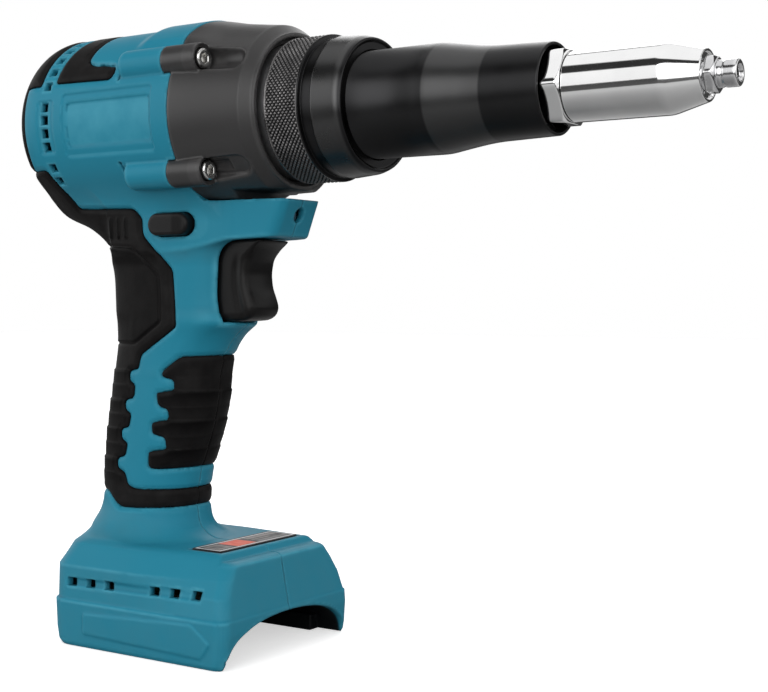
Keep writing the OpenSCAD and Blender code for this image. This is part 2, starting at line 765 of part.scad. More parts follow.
module housing(side) {
  color(teal) difference() {
    one_side(side) difference() {
      shell_outside();
      difference() {
        shell_inside();
        shell_seats();
      }
    }
    shell_openings();
    skin() back_grip_outline();
    skin() front_grip_outline();
    skin() top_bumper_outline();
    at_bosses() translate([0, 0, screw_seat_x - case_screw_len - seat_gap])
      cylinder(h = case_screw_len, d = case_screw_d + 2 * run_gap);
    at_posts() translate([0, 0, post_head_y - shell_screw_len - seat_gap])
      cylinder(h = cut_reach, d = shell_screw_d + 2 * run_gap);
    if (side > 0) at_posts() translate([0, 0, post_head_y])
      cylinder(h = cut_reach, d = shell_head_d + 2 * seat_gap);
  }
}

module soft_moulding(side) {
  color(black) difference() {
    one_side(side) skin() children();
    shell_openings();
    if (side > 0) at_posts() translate([0, 0, post_head_y])
      cylinder(h = cut_reach, d = shell_head_d + 2 * seat_gap);
  }
}

// gear case: a round shell flattened below, with a keel, four bosses and a mouth for the lock ring
module gear_case() {
  profile = [for (p = case_profile_shares)
    [p[1] * case_rear_d / 2, lap_len + p[0] * (case_len - lap_len)]];
  lap_r = barrel_in_r - seat_gap;
  bore_r = ring_gear_d / 2 + seat_gap;
  neck_r = spigot_body_d / 2 + seat_gap;
  color(black) difference() {
    union() {
      intersection() {
        union() {
          spun(concat([[0, 0], [lap_r, 0], [lap_r, lap_len]], profile,
            [[case_mouth_d / 2, case_len], [0, case_len]]));
          saddle(lap_len, boss_len, saddle_rise * 1.5);
        }
        translate([0, -cut_reach, axis_h - case_flat])
          cube([case_len, 2 * cut_reach, 2 * case_flat + barrel_d]);
      }
      translate([boss_len * 0.6, -keel_w / 2, axis_h - case_flat])
        cube([case_len * 0.72, keel_w, case_flat / 2]);
      at_bosses() cylinder(h = boss_len, d = boss_d);
    }
    spun([[0, -overrun], [bore_r, -overrun], [bore_r, front_flange_end], [neck_r, front_flange_end],
      [neck_r, case_len - mouth_depth], [ring_d / 2 + seat_gap, case_len - mouth_depth],
      [ring_d / 2 + seat_gap, case_len + overrun], [0, case_len + overrun]]);
    at_bosses() translate([0, 0, screw_seat_x]) cylinder(h = case_len, d = case_head_d + 2 * seat_gap);
    at_bosses() translate([0, 0, -overrun]) cylinder(h = case_len, d = case_screw_d + 2 * seat_gap);
  }
}

module case_screws() {
  color(steel) at_bosses() difference() {
    union() {
      translate([0, 0, screw_seat_x]) cylinder(h = case_head_h, d = case_head_d);
      translate([0, 0, screw_seat_x - case_screw_len]) cylinder(h = case_screw_len, d = case_screw_d);
    }
    translate([0, 0, screw_seat_x + case_head_h / 2]) cylinder(h = case_head_h, d = case_screw_d, $fn = 6);
  }
}

module shell_screws() {
  color(steel) at_posts() difference() {
    union() {
      translate([0, 0, post_head_y]) cylinder(h = shell_head_h, d = shell_head_d);
      translate([0, 0, post_head_y - shell_screw_len]) cylinder(h = shell_screw_len, d = shell_screw_d);
    }
    translate([0, 0, post_head_y + shell_head_h / 3])
      cylinder(h = shell_head_h, d = shell_screw_d * 0.8, $fn = 6);
  }
}

// lock ring: knurled band, groove and plain front, threaded on to the front housing
module lock_ring() {
  teeth = 60;
  knurl_end = ring_x + knurl_len;
  groove_end = knurl_end + groove_len;
  knurl_r = ring_d / 2;
  band_r = ring_front_d / 2 + ring_lip_t / 2;
  thread_r = spigot_d / 2 + run_gap;
  flange_r = sleeve_flange_d / 2 + seat_gap;
  lip_r = sleeve_d / 2 + seat_gap;
  lip_x = ring_front_x - ring_lip_t;
  color(black) difference() {
    union() {
      on_axis() translate([0, 0, ring_x]) linear_extrude(knurl_len) polygon([
        for (i = [0 : 2 * teeth - 1])
          (knurl_r - (i % 2) * knurl_depth) * [cos(180 * i / teeth), sin(180 * i / teeth)]]);
      spun([[0, ring_x], [knurl_r - knurl_depth * 2, ring_x], [knurl_r - knurl_depth * 2, groove_end],
        [band_r, groove_end], [ring_front_d / 2, ring_front_x], [0, ring_front_x]]);
    }
    spun([[0, ring_x - overrun], [thread_r, ring_x - overrun], [thread_r, spigot_x], [flange_r, spigot_x],
      [flange_r, lip_x], [lip_r, lip_x], [lip_r, ring_front_x + overrun], [0, ring_front_x + overrun]]);
  }
}

// sleeve with a flange behind, slots for the guide pin inside and a mouth for the nut
module nose_sleeve() {
  taper_x = ring_front_x + sleeve_straight;
  waist_x = taper_x + sleeve_taper;
  slot_w = guide_pin_d + 4 * run_gap;
  slot_end = screw_head_x + screw_head_len / 2 + slot_w / 2 + seat_gap;
  bore_r = sleeve_bore_d / 2;
  thread_r = nose_thread_d / 2 + press_gap;
  mouth_r = nut_corner_d / 2 + seat_gap;
  color(black) difference() {
    spun([[0, flange_x], [sleeve_flange_d / 2, flange_x], [sleeve_flange_d / 2, flange_x + sleeve_flange_t],
      [sleeve_d / 2, flange_x + sleeve_flange_t], [sleeve_d / 2, taper_x], [sleeve_waist_d / 2, waist_x],
      [sleeve_front_d / 2, sleeve_front_x], [0, sleeve_front_x]]);
    spun([[0, flange_x - overrun], [bore_r, flange_x - overrun], [bore_r, waist_x - sleeve_taper / 5],
      [thread_r, waist_x], [thread_r, nut_x - seat_gap], [mouth_r, nut_x - seat_gap],
      [mouth_r, sleeve_front_x + overrun], [0, sleeve_front_x + overrun]]);
    translate([flange_x - overrun, -slot_w / 2, axis_h - guide_pin_len / 2 - seat_gap])
      cube([slot_end - flange_x + overrun, slot_w, guide_pin_len + 2 * seat_gap]);
  }
}

// hexagon nut with both faces chamfered
module nose_nut() {
  r = nut_corner_d / 2;
  chamfer = nut_t * 0.14;
  color(steel) difference() {
    intersection() {
      on_axis() translate([0, 0, nut_x]) cylinder(h = nut_t, r = r, $fn = 6);
      spun([[0, nut_x], [r - chamfer, nut_x], [r, nut_x + chamfer / 2], [r, nut_front_x - chamfer / 2],
        [r - chamfer, nut_front_x], [0, nut_front_x]]);
    }
    rod(nut_x - overrun, nut_front_x + overrun, nose_thread_d + 2 * press_gap);
  }
}

// nose barrel: a plated tube with a thread behind and a coned front that the nosepiece screws into
module nose_barrel() {
  bore_r = jaw_case_d / 2 + seat_gap;
  shank_r = shank_d / 2 + press_gap;
  color(steel) difference() {
    spun([[0, nose_rear_x], [nose_thread_d / 2, nose_rear_x], [nose_thread_d / 2, nut_front_x],
      [nose_d / 2, nut_front_x + press_gap], [nose_d / 2, cone_x], [nose_front_d / 2, nose_front_x],
      [0, nose_front_x]]);
    spun([[0, nose_rear_x - overrun], [bore_r, nose_rear_x - overrun], [bore_r, nose_bore_end],
      [shank_r, shank_x], [shank_r, nose_front_x + overrun], [0, nose_front_x + overrun]]);
  }
}

module nosepiece() {
  hex_x = nose_front_x + press_gap;
  hex_end = nose_front_x + tip_hex_t;
  color(steel) difference() {
    union() {
      spun([[0, nose_bore_end], [shank_d * 0.4, nose_bore_end], [shank_d / 2, shank_x],
        [shank_d / 2, hex_end], [0, hex_end]]);
      on_axis() translate([0, 0, hex_x]) cylinder(h = hex_end - hex_x, d = tip_hex_d, $fn = 6);
      spun([[0, hex_x], [tip_d / 2, hex_x], [tip_d / 2, tip_x - tip_len * 0.12], [tip_d * 0.46, tip_x],
        [0, tip_x]]);
    }
    rod(nose_bore_end - overrun, tip_x + overrun, tip_bore_d);
  }
}

// trigger with a finger hollow in front and a plunger behind
module trigger() {
  color(black) {
    across(-trigger_w / 2, trigger_w / 2) translate([trigger_x - trigger_reach, trigger_z])
      polygon([for (p = trigger_shares) [p[0] * trigger_reach, p[1] * trigger_h]]);
    translate([trigger_back, -trigger_w * 0.4, trigger_z + trigger_h * 0.2])
      cube([trigger_root + overrun, trigger_w * 0.8, trigger_h * 0.7]);
    translate([switch_x + switch_len * 0.6, 0, plunger_z]) rotate([0, 90, 0])
      cylinder(h = trigger_back + overrun - switch_x - switch_len * 0.6, d = plunger_d);
  }
}

module trigger_switch() {
  color("dimgray") difference() {
    union() {
      translate([switch_x, -switch_w / 2, switch_z]) cube([switch_len, switch_w, switch_h]);
      translate([switch_x - shell_t, -switch_w * 0.3, switch_z + switch_h * 0.2])
        cube([shell_t + overrun, switch_w * 0.6, switch_h * 0.5]);
    }
    translate([switch_x + switch_len * 0.6 - trigger_travel - gear_gap, 0, plunger_z]) rotate([0, 90, 0])
      cylinder(h = switch_len, d = plunger_d + 2 * run_gap);
  }
}

// bar through both shells, out on the right at rest
module direction_button() {
  reach = shelf_w / 2;
  color(black) translate([button_x, -reach - button_proud, button_z]) union() {
    translate([button_h / 2, 0, 0]) cube([button_len - button_h, 2 * reach + button_proud, button_h]);
    for (x = [button_h / 2, button_len - button_h / 2]) translate([x, 0, button_h / 2]) rotate([-90, 0, 0])
      cylinder(h = 2 * reach + button_proud, d = button_h);
  }
}

// lens with the narrower body of its light behind
module light_lens() {
  head = lens_d * 0.6;
  color("whitesmoke") translate([lens_x - lens_d / 4, 0, lens_z]) rotate([0, 90, 0]) {
    translate([0, 0, -head]) cylinder(h = head, d = lens_d);
    translate([0, 0, -head - lens_d]) cylinder(h = lens_d + head / 2, d = lens_d * 0.7);
  }
}

module foot_label() {
  color("gray") translate([label_x - label_w / 2, -label_len / 2, foot_h - label_t / 2])
    cube([label_w, label_len, label_t]);
}

// stack of six teeth in a ring
module stator_core() {
  yoke = stator_d * 0.08;
  tooth_w = stator_bore_d * 0.26;
  color("slategray") union() {
    tube(stator_x, stator_front_x, stator_d, stator_d - 2 * yoke);
    difference() {
      for (turn = [0 : 60 : 300]) on_axis() rotate([0, 0, turn])
        translate([stator_bore_d * 0.45, -tooth_w / 2, stator_x])
          cube([stator_d / 2 - yoke / 2 - stator_bore_d * 0.45, tooth_w, stator_len]);
      rod(stator_x - overrun, stator_front_x + overrun, stator_bore_d);
    }
  }
}

// one coil round each tooth
module stator_coils() {
  tooth_w = stator_bore_d * 0.26;
  depth = (stator_d - stator_bore_d) / 2 - stator_d * 0.08 - 4 * seat_gap;
  wind = stator_bore_d * 0.085;
  color("peru") for (turn = [0 : 60 : 300]) on_axis() rotate([0, 0, turn])
    translate([stator_bore_d / 2 + 2 * seat_gap + wind / 2, 0, stator_x - coil_over]) difference() {
      translate([0, -tooth_w / 2 - wind, 0])
        cube([depth - wind, tooth_w + 2 * wind, stator_len + 2 * coil_over]);
      translate([-overrun, -tooth_w / 2 - press_gap, coil_over - seat_gap])
        cube([depth + 2 * overrun, tooth_w + 2 * press_gap, stator_len + 2 * seat_gap]);
    }
}

module at_magnets() {
  for (turn = [0 : 90 : 270]) on_axis() rotate([0, 0, turn])
    translate([rotor_d * 0.34, -rotor_d * 0.26, stator_x]) children();
}

module rotor_core() {
  color("gray") difference() {
    tube(stator_x, stator_front_x, rotor_d, shaft_d + 2 * press_gap);
    at_magnets() translate([-press_gap, -press_gap, -overrun])
      cube([rotor_d * 0.07 + 2 * press_gap, rotor_d * 0.52 + 2 * press_gap, stator_len + 2 * overrun]);
  }
}

module rotor_magnets() {
  color("silver") at_magnets() cube([rotor_d * 0.07, rotor_d * 0.52, stator_len]);
}

// shaft with a thinner rear journal and the first sun gear cut on its front end
module motor_shaft() {
  journal_end = rear_bearing_x + rear_bearing_w + seat_gap;
  color(steel) {
    rod(rear_bearing_x, journal_end + overrun, rear_journal_d);
    rod(journal_end, first_x, shaft_d);
    on_axis() translate([0, 0, first_x]) linear_extrude(gear_w) gear(sun_teeth, 0);
  }
}

// fan with a hub and eleven flat blades on a back disc
module cooling_fan() {
  hub_d = shaft_d * 2.2;
  disc_t = fan_w * 0.16;
  color("dimgray") difference() {
    union() {
      rod(fan_x, fan_x + fan_w, hub_d);
      rod(fan_x + fan_w - disc_t, fan_x + fan_w, fan_d);
      for (turn = [0 : 360 / 11 : 359]) on_axis() rotate([0, 0, turn]) translate([hub_d * 0.4, 0, fan_x])
        cube([fan_d / 2 - hub_d * 0.45, disc_t, fan_w]);
    }
    rod(fan_x - overrun, fan_x + fan_w + overrun, shaft_d + 2 * press_gap);
  }
}

module rear_bearing() {
  color(steel) tube(rear_bearing_x, rear_bearing_x + rear_bearing_w, rear_bearing_d,
    rear_journal_d + 2 * run_gap);
}

module front_bearing() {
  color(steel) tube(plate_hub_x, plate_hub_x + front_bearing_w, front_bearing_d, shaft_d + 2 * run_gap);
}

module nut_bearing() {
  color(steel) tube(nut_bearing_x, nut_bearing_x + nut_bearing_w, nut_bearing_d, drive_nut_d + 2 * run_gap);
}

// end plate between the motor and the gears, with the front bearing's seat
module motor_plate() {
  color("silver") difference() {
    union() {
      rod(-plate_t, 0, plate_d);
      rod(plate_hub_x, 0, plate_hub_d);
    }
    spun([[0, plate_hub_x - overrun], [front_bearing_d / 2 + press_gap, plate_hub_x - overrun],
      [front_bearing_d / 2 + press_gap, -plate_t / 2], [gear_module * (sun_teeth / 2 + 2), -plate_t / 2],
      [gear_module * (sun_teeth / 2 + 2), overrun], [0, overrun]]);
  }
}

// involute of a circle at a roll angle
function involute(base_r, roll) =
  base_r * [cos(roll) + roll * PI / 180 * sin(roll), sin(roll) - roll * PI / 180 * cos(roll)];
function roll_at(base_r, r) = r <= base_r ? 0 : sqrt(r * r / (base_r * base_r) - 1) * 180 / PI;
function turned(p, a) = [p[0] * cos(a) - p[1] * sin(a), p[0] * sin(a) + p[1] * cos(a)];

// spur gear outline with a tooth on the first axis; grow widens its teeth for an internal gear
module gear(teeth, grow, tip = 0.95, root = 1.25) {
  pitch_r = gear_module * teeth / 2;
  base_r = pitch_r * cos(pressure_angle);
  tip_r = pitch_r + tip * gear_module;
  root_r = pitch_r - root * gear_module;
  start_r = max(base_r, root_r);
  lean = roll_at(base_r, pitch_r) - pressure_angle;
  half = 90 / teeth + (grow - backlash / 2) / pitch_r * 90 / PI + lean;
  flank = [for (i = [0 : 4]) involute(base_r, roll_at(base_r, start_r + (tip_r - start_r) * i / 4))];
  low = [root_r, 0];
  tooth = concat([turned(low, -half)], [for (p = flank) turned(p, -half)],
    [for (i = [4 : -1 : 0]) turned([flank[i][0], -flank[i][1]], half)], [turned(low, half)]);
  polygon([for (k = [0 : teeth - 1], p = tooth) turned(p, 360 * k / teeth)]);
}

module ring_gear() {
  color(steel) on_axis() translate([0, 0, seat_gap]) linear_extrude(ring_gear_end - seat_gap) difference() {
    circle(d = ring_gear_d);
    rotate(180 / ring_teeth) gear(ring_teeth, backlash, 1.25, 0.95);
  }
}

module planet(x, k) {
  color(steel) on_axis() rotate([0, 0, 360 * k / planet_count]) translate([planet_r, 0, x]) difference() {
    linear_extrude(gear_w) rotate(180 / planet_teeth) gear(planet_teeth, 0);
    translate([0, 0, -overrun]) cylinder(h = gear_w + 2 * overrun, d = planet_pin_d + 2 * run_gap);
  }
}

// pins pressed into a carrier
module planet_pins(x, length) {
  color("silver") on_axis() for (k = [0 : planet_count - 1]) rotate([0, 0, 360 * k / planet_count])
    translate([planet_r, 0, x]) cylinder(h = length, d = planet_pin_d);
}

module carrier(x) {
  difference() {
    rod(x, x + carrier_t, 2 * carrier_r);
    on_axis() for (k = [0 : planet_count - 1]) rotate([0, 0, 360 * k / planet_count])
      translate([planet_r, 0, x - overrun])
        cylinder(h = carrier_t + 2 * overrun, d = planet_pin_d + 2 * press_gap);
  }
}

module first_carrier() {
  sun_x = first_carrier_x + carrier_t / 2;
  color("lightgray") {
    carrier(first_carrier_x);
    on_axis() translate([0, 0, sun_x]) linear_extrude(second_x + gear_w - sun_x) gear(sun_teeth, 0);
  }
}

module second_carrier() {
  color("lightgray") carrier(second_carrier_x);
}

// drive nut: a long hollow nut with a thrust flange
module drive_nut() {
  color("goldenrod") difference() {
    union() {
      rod(drive_nut_x, drive_nut_end, drive_nut_d);
      rod(nut_flange_x, nut_flange_x + nut_flange_t, nut_flange_d);
    }
    rod(drive_nut_x - overrun, thread_x, screw_d + 4 * seat_gap);
    rod(thread_x - overrun, drive_nut_end + overrun, screw_d + 2 * run_gap);
  }
}

// two washers and a needle cage
module thrust_bearing() {
  bore_d = drive_nut_d + 2 * seat_gap;
  washer = thrust_t * 0.24;
  color(steel) {
    tube(thrust_x, thrust_x + washer, nut_flange_d, bore_d);
    tube(thrust_x + washer + press_gap, thrust_x + thrust_t - washer - press_gap,
      nut_flange_d - seat_gap, bore_d + seat_gap);
    tube(thrust_x + thrust_t - washer, thrust_x + thrust_t, nut_flange_d, bore_d);
  }
}

// front housing: carries the drive nut's bearings and the thread for the lock ring
module front_housing() {
  bearing_r = nut_bearing_d / 2 + press_gap;
  bearing_end = nut_bearing_x + nut_bearing_w + press_gap;
  flange_r = nut_flange_d / 2 + seat_gap;
  nut_r = drive_nut_d / 2 + seat_gap;
  color("silver") difference() {
    union() {
      rod(front_flange_x, front_flange_end - seat_gap, ring_gear_d);
      rod(front_flange_x, ring_x, spigot_body_d);
      rod(front_flange_x, spigot_x, spigot_d);
    }
    spun([[0, front_flange_x - overrun], [bearing_r, front_flange_x - overrun], [bearing_r, bearing_end],
      [flange_r, bearing_end], [flange_r, shoulder_x], [nut_r, shoulder_x], [nut_r, spigot_x + overrun],
      [0, spigot_x + overrun]]);
  }
}

// drive screw with a head that the guide pin crosses
module drive_screw() {
  color(steel) difference() {
    union() {
      rod(thread_x + gear_gap, screw_head_x + overrun, screw_d);
      rod(screw_head_x, screw_tip_x, screw_head_d);
    }
    translate([screw_head_x + screw_head_len / 2, 0, axis_h - cut_reach / 2])
      cylinder(h = cut_reach, d = guide_pin_d + 2 * press_gap);
  }
}

module guide_pin() {
  color("silver") translate([screw_head_x + screw_head_len / 2, 0, axis_h - guide_pin_len / 2])
    cylinder(h = guide_pin_len, d = guide_pin_d);
}

// draw rod from the screw head to its thread in the jaw case
module draw_rod() {
  color(steel) {
    rod(screw_tip_x + press_gap, rod_end_x, rod_d);
    rod(jaw_case_x, rod_end_x, jaw_case_bore_d - 2 * press_gap);
  }
}

// jaw case: a tube with a coned mouth
module jaw_case() {
  bore_r = jaw_case_bore_d / 2;
  mouth_r = jaw_mouth_d / 2;
  color("slategray") difference() {
    rod(jaw_case_x, jaw_front_x, jaw_case_d);
    spun([[0, jaw_case_x - overrun], [bore_r, jaw_case_x - overrun], [bore_r, jaw_cone_x],
      [mouth_r, jaw_front_x], [mouth_r, jaw_front_x + overrun], [0, jaw_front_x + overrun]]);
  }
}

// three jaws that the cone closes on the rivet pin
module jaws() {
  slit = 2 * seat_gap;
  color("gray") difference() {
    spun([[jaw_bore_d / 2, jaw_cone_x], [jaw_case_bore_d / 2 - run_gap, jaw_cone_x],
      [jaw_mouth_d / 2 - run_gap, jaw_front_x], [jaw_bore_d / 2, jaw_front_x]]);
    for (turn = [0 : 120 : 240]) on_axis() rotate([0, 0, turn])
      translate([0, -slit / 2, jaw_cone_x - overrun]) cube([jaw_case_d, slit, jaw_len + 2 * overrun]);
  }
}

module jaw_pusher() {
  color("silver")
    tube(pusher_x, jaw_cone_x - press_gap, jaw_case_bore_d - 4 * run_gap, jaw_bore_d + 2 * seat_gap);
}

// coil spring between the draw rod and the jaw pusher
module jaw_spring() {
  turns = 4;
  rings = 12;
  sides = 6;
  coil_r = jaw_case_bore_d / 2 - spring_wire_d / 2 - 2 * run_gap;
  from = rod_end_x + spring_wire_d / 2 + press_gap;
  length = pusher_x - rod_end_x - spring_wire_d - 2 * press_gap;
  path = [for (i = [0 : turns * rings]) let (a = 360 * i / rings)
    [coil_r * cos(a), coil_r * sin(a), from + length * i / (turns * rings), a]];
  color(steel) on_axis() loft([for (p = path) [for (k = [0 : sides - 1])
    let (a = 360 * k / sides, out = spring_wire_d / 2 * cos(a))
    [p[0] + out * cos(p[3]), p[1] + out * sin(p[3]), p[2] - spring_wire_d / 2 * sin(a)]]]);
}

module controller_tray() {
  wall = shell_t * 0.4;
  color("dimgray") translate([tray_x, -tray_w / 2, floor_z + press_gap]) difference() {
    cube([tray_len, tray_w, tray_h]);
    translate([wall, wall, wall]) cube([tray_len - 2 * wall, tray_w - 2 * wall, tray_h]);
  }
}

// board with six power switches and two capacitors
module controller_board() {
  wall = shell_t * 0.4;
  chip = tray_w * 0.13;
  edge = wall + seat_gap;
  color("darkgreen") translate([tray_x + edge, edge - tray_w / 2, floor_z + wall + 2 * press_gap]) {
    cube([tray_len - 2 * edge, tray_w - 2 * edge, board_t]);
    for (i = [0 : 2], j = [0, 1]) translate([chip * (1 + 1.8 * j), chip * (1 + 2 * i), board_t / 2])
      cube([chip, chip * 1.3, board_t * 1.6]);
    for (j = [0, 1]) translate([tray_len * 0.75, tray_w * (0.3 + 0.3 * j), board_t / 2])
      cylinder(h = tray_h * 1.3, d = chip);
  }
}

// block under the roof of the battery channel, slotted for the contacts
module terminal_block() {
  color("gold") difference() {
    translate([block_x, -block_w / 2, channel_h - block_t - press_gap]) cube([block_len, block_w, block_t]);
    at_contacts() translate([-press_gap, -press_gap, 0])
      cube([block_len * 0.6 + 2 * press_gap, contact_t + 2 * press_gap, channel_h]);
  }
}

module at_contacts() {
  for (k = [-1, -0.35, 1])
    translate([block_x + block_len * 0.2, k * block_w * 0.36, rail_h * 0.6]) children();
}

module battery_contacts() {
  color("orange") at_contacts() cube([block_len * 0.6, contact_t, channel_h - rail_h * 0.6 - 2 * press_gap]);
}

// centres the tool on its length
module placed() {
  translate([-(rear_x + tip_x) / 2, 0, 0]) children();
}

placed() housing(-1);  // housing_right
placed() housing(1);  // housing_left
placed() soft_moulding(-1) back_grip_outline();  // back_grip_right
placed() soft_moulding(1) back_grip_outline();  // back_grip_left
placed() soft_moulding(-1) front_grip_outline();  // front_grip_right
placed() soft_moulding(1) front_grip_outline();  // front_grip_left
placed() soft_moulding(-1) top_bumper_outline();  // top_bumper_right
placed() soft_moulding(1) top_bumper_outline();  // top_bumper_left
placed() gear_case();
placed() case_screws();
placed() shell_screws();
placed() lock_ring();
placed() nose_sleeve();
placed() nose_nut();
placed() nose_barrel();
placed() nosepiece();
placed() trigger();
placed() trigger_switch();
placed() direction_button();
placed() light_lens();
placed() foot_label();
placed() stator_core();
placed() stator_coils();
placed() rotor_core();
placed() rotor_magnets();
placed() motor_shaft();
placed() cooling_fan();
placed() rear_bearing();
placed() front_bearing();
placed() motor_plate();
placed() ring_gear();
placed() planet(first_x, 0);  // first_planet_a
placed() planet(first_x, 1);  // first_planet_b
placed() planet(first_x, 2);  // first_planet_c
placed() first_carrier();
placed() planet_pins(first_x, gear_w + gear_gap + carrier_t);  // first_pins
placed() planet(second_x, 0);  // second_planet_a
placed() planet(second_x, 1);  // second_planet_b
placed() planet(second_x, 2);  // second_planet_c
placed() second_carrier();
placed() planet_pins(second_x, gear_w + gear_gap + carrier_t);  // second_pins
placed() drive_nut();
placed() nut_bearing();
placed() thrust_bearing();
placed() front_housing();
placed() drive_screw();
placed() guide_pin();
placed() draw_rod();
placed() jaw_case();
placed() jaws();
placed() jaw_pusher();
placed() jaw_spring();
placed() controller_tray();
placed() controller_board();
placed() terminal_block();
placed() battery_contacts();
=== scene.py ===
import functools
import math
import bpy
import numpy as np
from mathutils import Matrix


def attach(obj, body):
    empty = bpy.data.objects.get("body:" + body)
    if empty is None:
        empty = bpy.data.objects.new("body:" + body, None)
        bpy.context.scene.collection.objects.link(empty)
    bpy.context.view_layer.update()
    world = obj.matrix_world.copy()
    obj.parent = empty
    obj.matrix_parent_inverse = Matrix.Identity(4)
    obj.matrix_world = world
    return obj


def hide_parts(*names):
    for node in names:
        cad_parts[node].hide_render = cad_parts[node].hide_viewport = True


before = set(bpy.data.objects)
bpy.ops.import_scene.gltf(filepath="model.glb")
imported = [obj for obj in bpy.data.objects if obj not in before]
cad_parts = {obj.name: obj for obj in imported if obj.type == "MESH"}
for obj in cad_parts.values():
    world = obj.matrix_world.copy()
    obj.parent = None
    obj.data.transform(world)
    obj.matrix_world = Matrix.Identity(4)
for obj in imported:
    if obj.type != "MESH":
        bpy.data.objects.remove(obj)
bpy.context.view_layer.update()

# millimetres of the tool: height of the drive's axis, and middle of the length, where the frame has its origin
AXIS_H = 195.0
MIDDLE_X = 62.45


def soft_min(a, b, k):
    """Smaller of two fields, rounded over a width k where they meet."""
    h = np.clip(0.5 + 0.5 * (b - a) / k, 0, 1)
    return b + (a - b) * h - k * h * (1 - h)


def soft_max(a, b, k):
    """Larger of two fields, rounded over a width k where they meet."""
    return -soft_min(-a, -b, k)


def within(*fields):
    """Largest of several fields: the space that lies inside all of them."""
    return functools.reduce(np.maximum, fields)


def ramp(v, low, high):
    """Smooth step from 0 at low to 1 at high."""
    t = np.clip((v - low) / (high - low), 0, 1)
    return t * t * (3 - 2 * t)


def curve(v, knots, values):
    """Smooth curve through a table: cubic pieces whose slopes at the knots come from the neighbouring knots."""
    k, w = np.array(knots, float), np.array(values, float)
    slope = np.gradient(w, k)
    v = np.clip(v, k[0], k[-1])
    i = np.clip(np.searchsorted(k, v) - 1, 0, len(k) - 2)
    h = k[i + 1] - k[i]
    s = (v - k[i]) / h
    return ((1 + 2 * s) * (1 - s) ** 2 * w[i] + s * (1 - s) ** 2 * h * slope[i]
            + s * s * (3 - 2 * s) * w[i + 1] - s * s * (1 - s) * h * slope[i + 1])


def rounded(u, v, r):
    """Distance to the edge where two faces meet, from the distances to both faces, with the edge rounded by r."""
    u, v = u + r, v + r
    return np.hypot(np.maximum(u, 0), np.maximum(v, 0)) + np.minimum(np.maximum(u, v), 0) - r


def oval(u, v, wide, tall, n):
    """Distance to an oval from its middle lines: the nth root of the summed nth powers of both shares of its half sizes
    is one on it; what is over one is divided by that root's slope."""
    u, v = u / wide + 1e-6, v / tall + 1e-6
    un, vn = u ** n, v ** n
    k = (un + vn) ** (1 / n)
    return (k - 1) / (k / (un + vn) * np.hypot(un / (u * wide), vn / (v * tall)))


def ease_corners(p, corner, most):
    """Rounds each corner of a closed line by a parabola between two points on its edges, at most a given share of the
    edge away. Gives five points for each corner, and the way the line runs at each."""
    before, after = np.roll(p, 1, 0) - p, np.roll(p, -1, 0) - p
    reach_b, reach_a = np.linalg.norm(before, axis=1, keepdims=True), np.linalg.norm(after, axis=1, keepdims=True)
    a = p + before / reach_b * np.minimum(corner, most * reach_b)
    b = p + after / reach_a * np.minimum(corner, most * reach_a)
    t = np.linspace(0, 1, 5)[None, :, None]
    rows = (1 - t) ** 2 * a[:, None] + 2 * t * (1 - t) * p[:, None] + t * t * b[:, None]
    return rows, (1 - t) * -before[:, None] / reach_b[:, None] + t * after[:, None] / reach_a[:, None]


def outline(points, corner):
    """Distance to a closed side-view outline with eased corners, less than zero inside; the distance to the nearest
    edge is kept on a grid and read between its points."""
    step, room = 0.4, 8.0
    p = np.array(points, float)
    ring = ease_corners(p, corner, 0.45)[0].reshape(-1, 2)
    low = p.min(0) - room
    size = np.ceil((p.max(0) + room - low) / step).astype(int) + 1
    gx, gz = np.meshgrid(low[0] + step * np.arange(size[0]), low[1] + step * np.arange(size[1]), indexing="ij")
    nearest = np.full(gx.shape, 1e9)
    inside = np.zeros(gx.shape, bool)
    for q, r in zip(ring, np.roll(ring, -1, 0)):
        e = r - q
        s = np.clip(((gx - q[0]) * e[0] + (gz - q[1]) * e[1]) / (e @ e + 1e-12), 0, 1)
        nearest = np.minimum(nearest, np.hypot(gx - q[0] - s * e[0], gz - q[1] - s * e[1]))
        if e[1]:
            inside ^= ((q[1] > gz) != (r[1] > gz)) & (gx < e[0] * (gz - q[1]) / e[1] + q[0])
    table = np.where(inside, -nearest, nearest)

    def distance(x, z):
        u = np.clip((x - low[0]) / step, 0, size[0] - 1.001)
        v = np.clip((z - low[1]) / step, 0, size[1] - 1.001)
        i, j = u.astype(int), v.astype(int)
        u, v = u - i, v - j
        return ((table[i, j] * (1 - u) + table[i + 1, j] * u) * (1 - v)
                + (table[i, j + 1] * (1 - u) + table[i + 1, j + 1] * u) * v)
    return distance


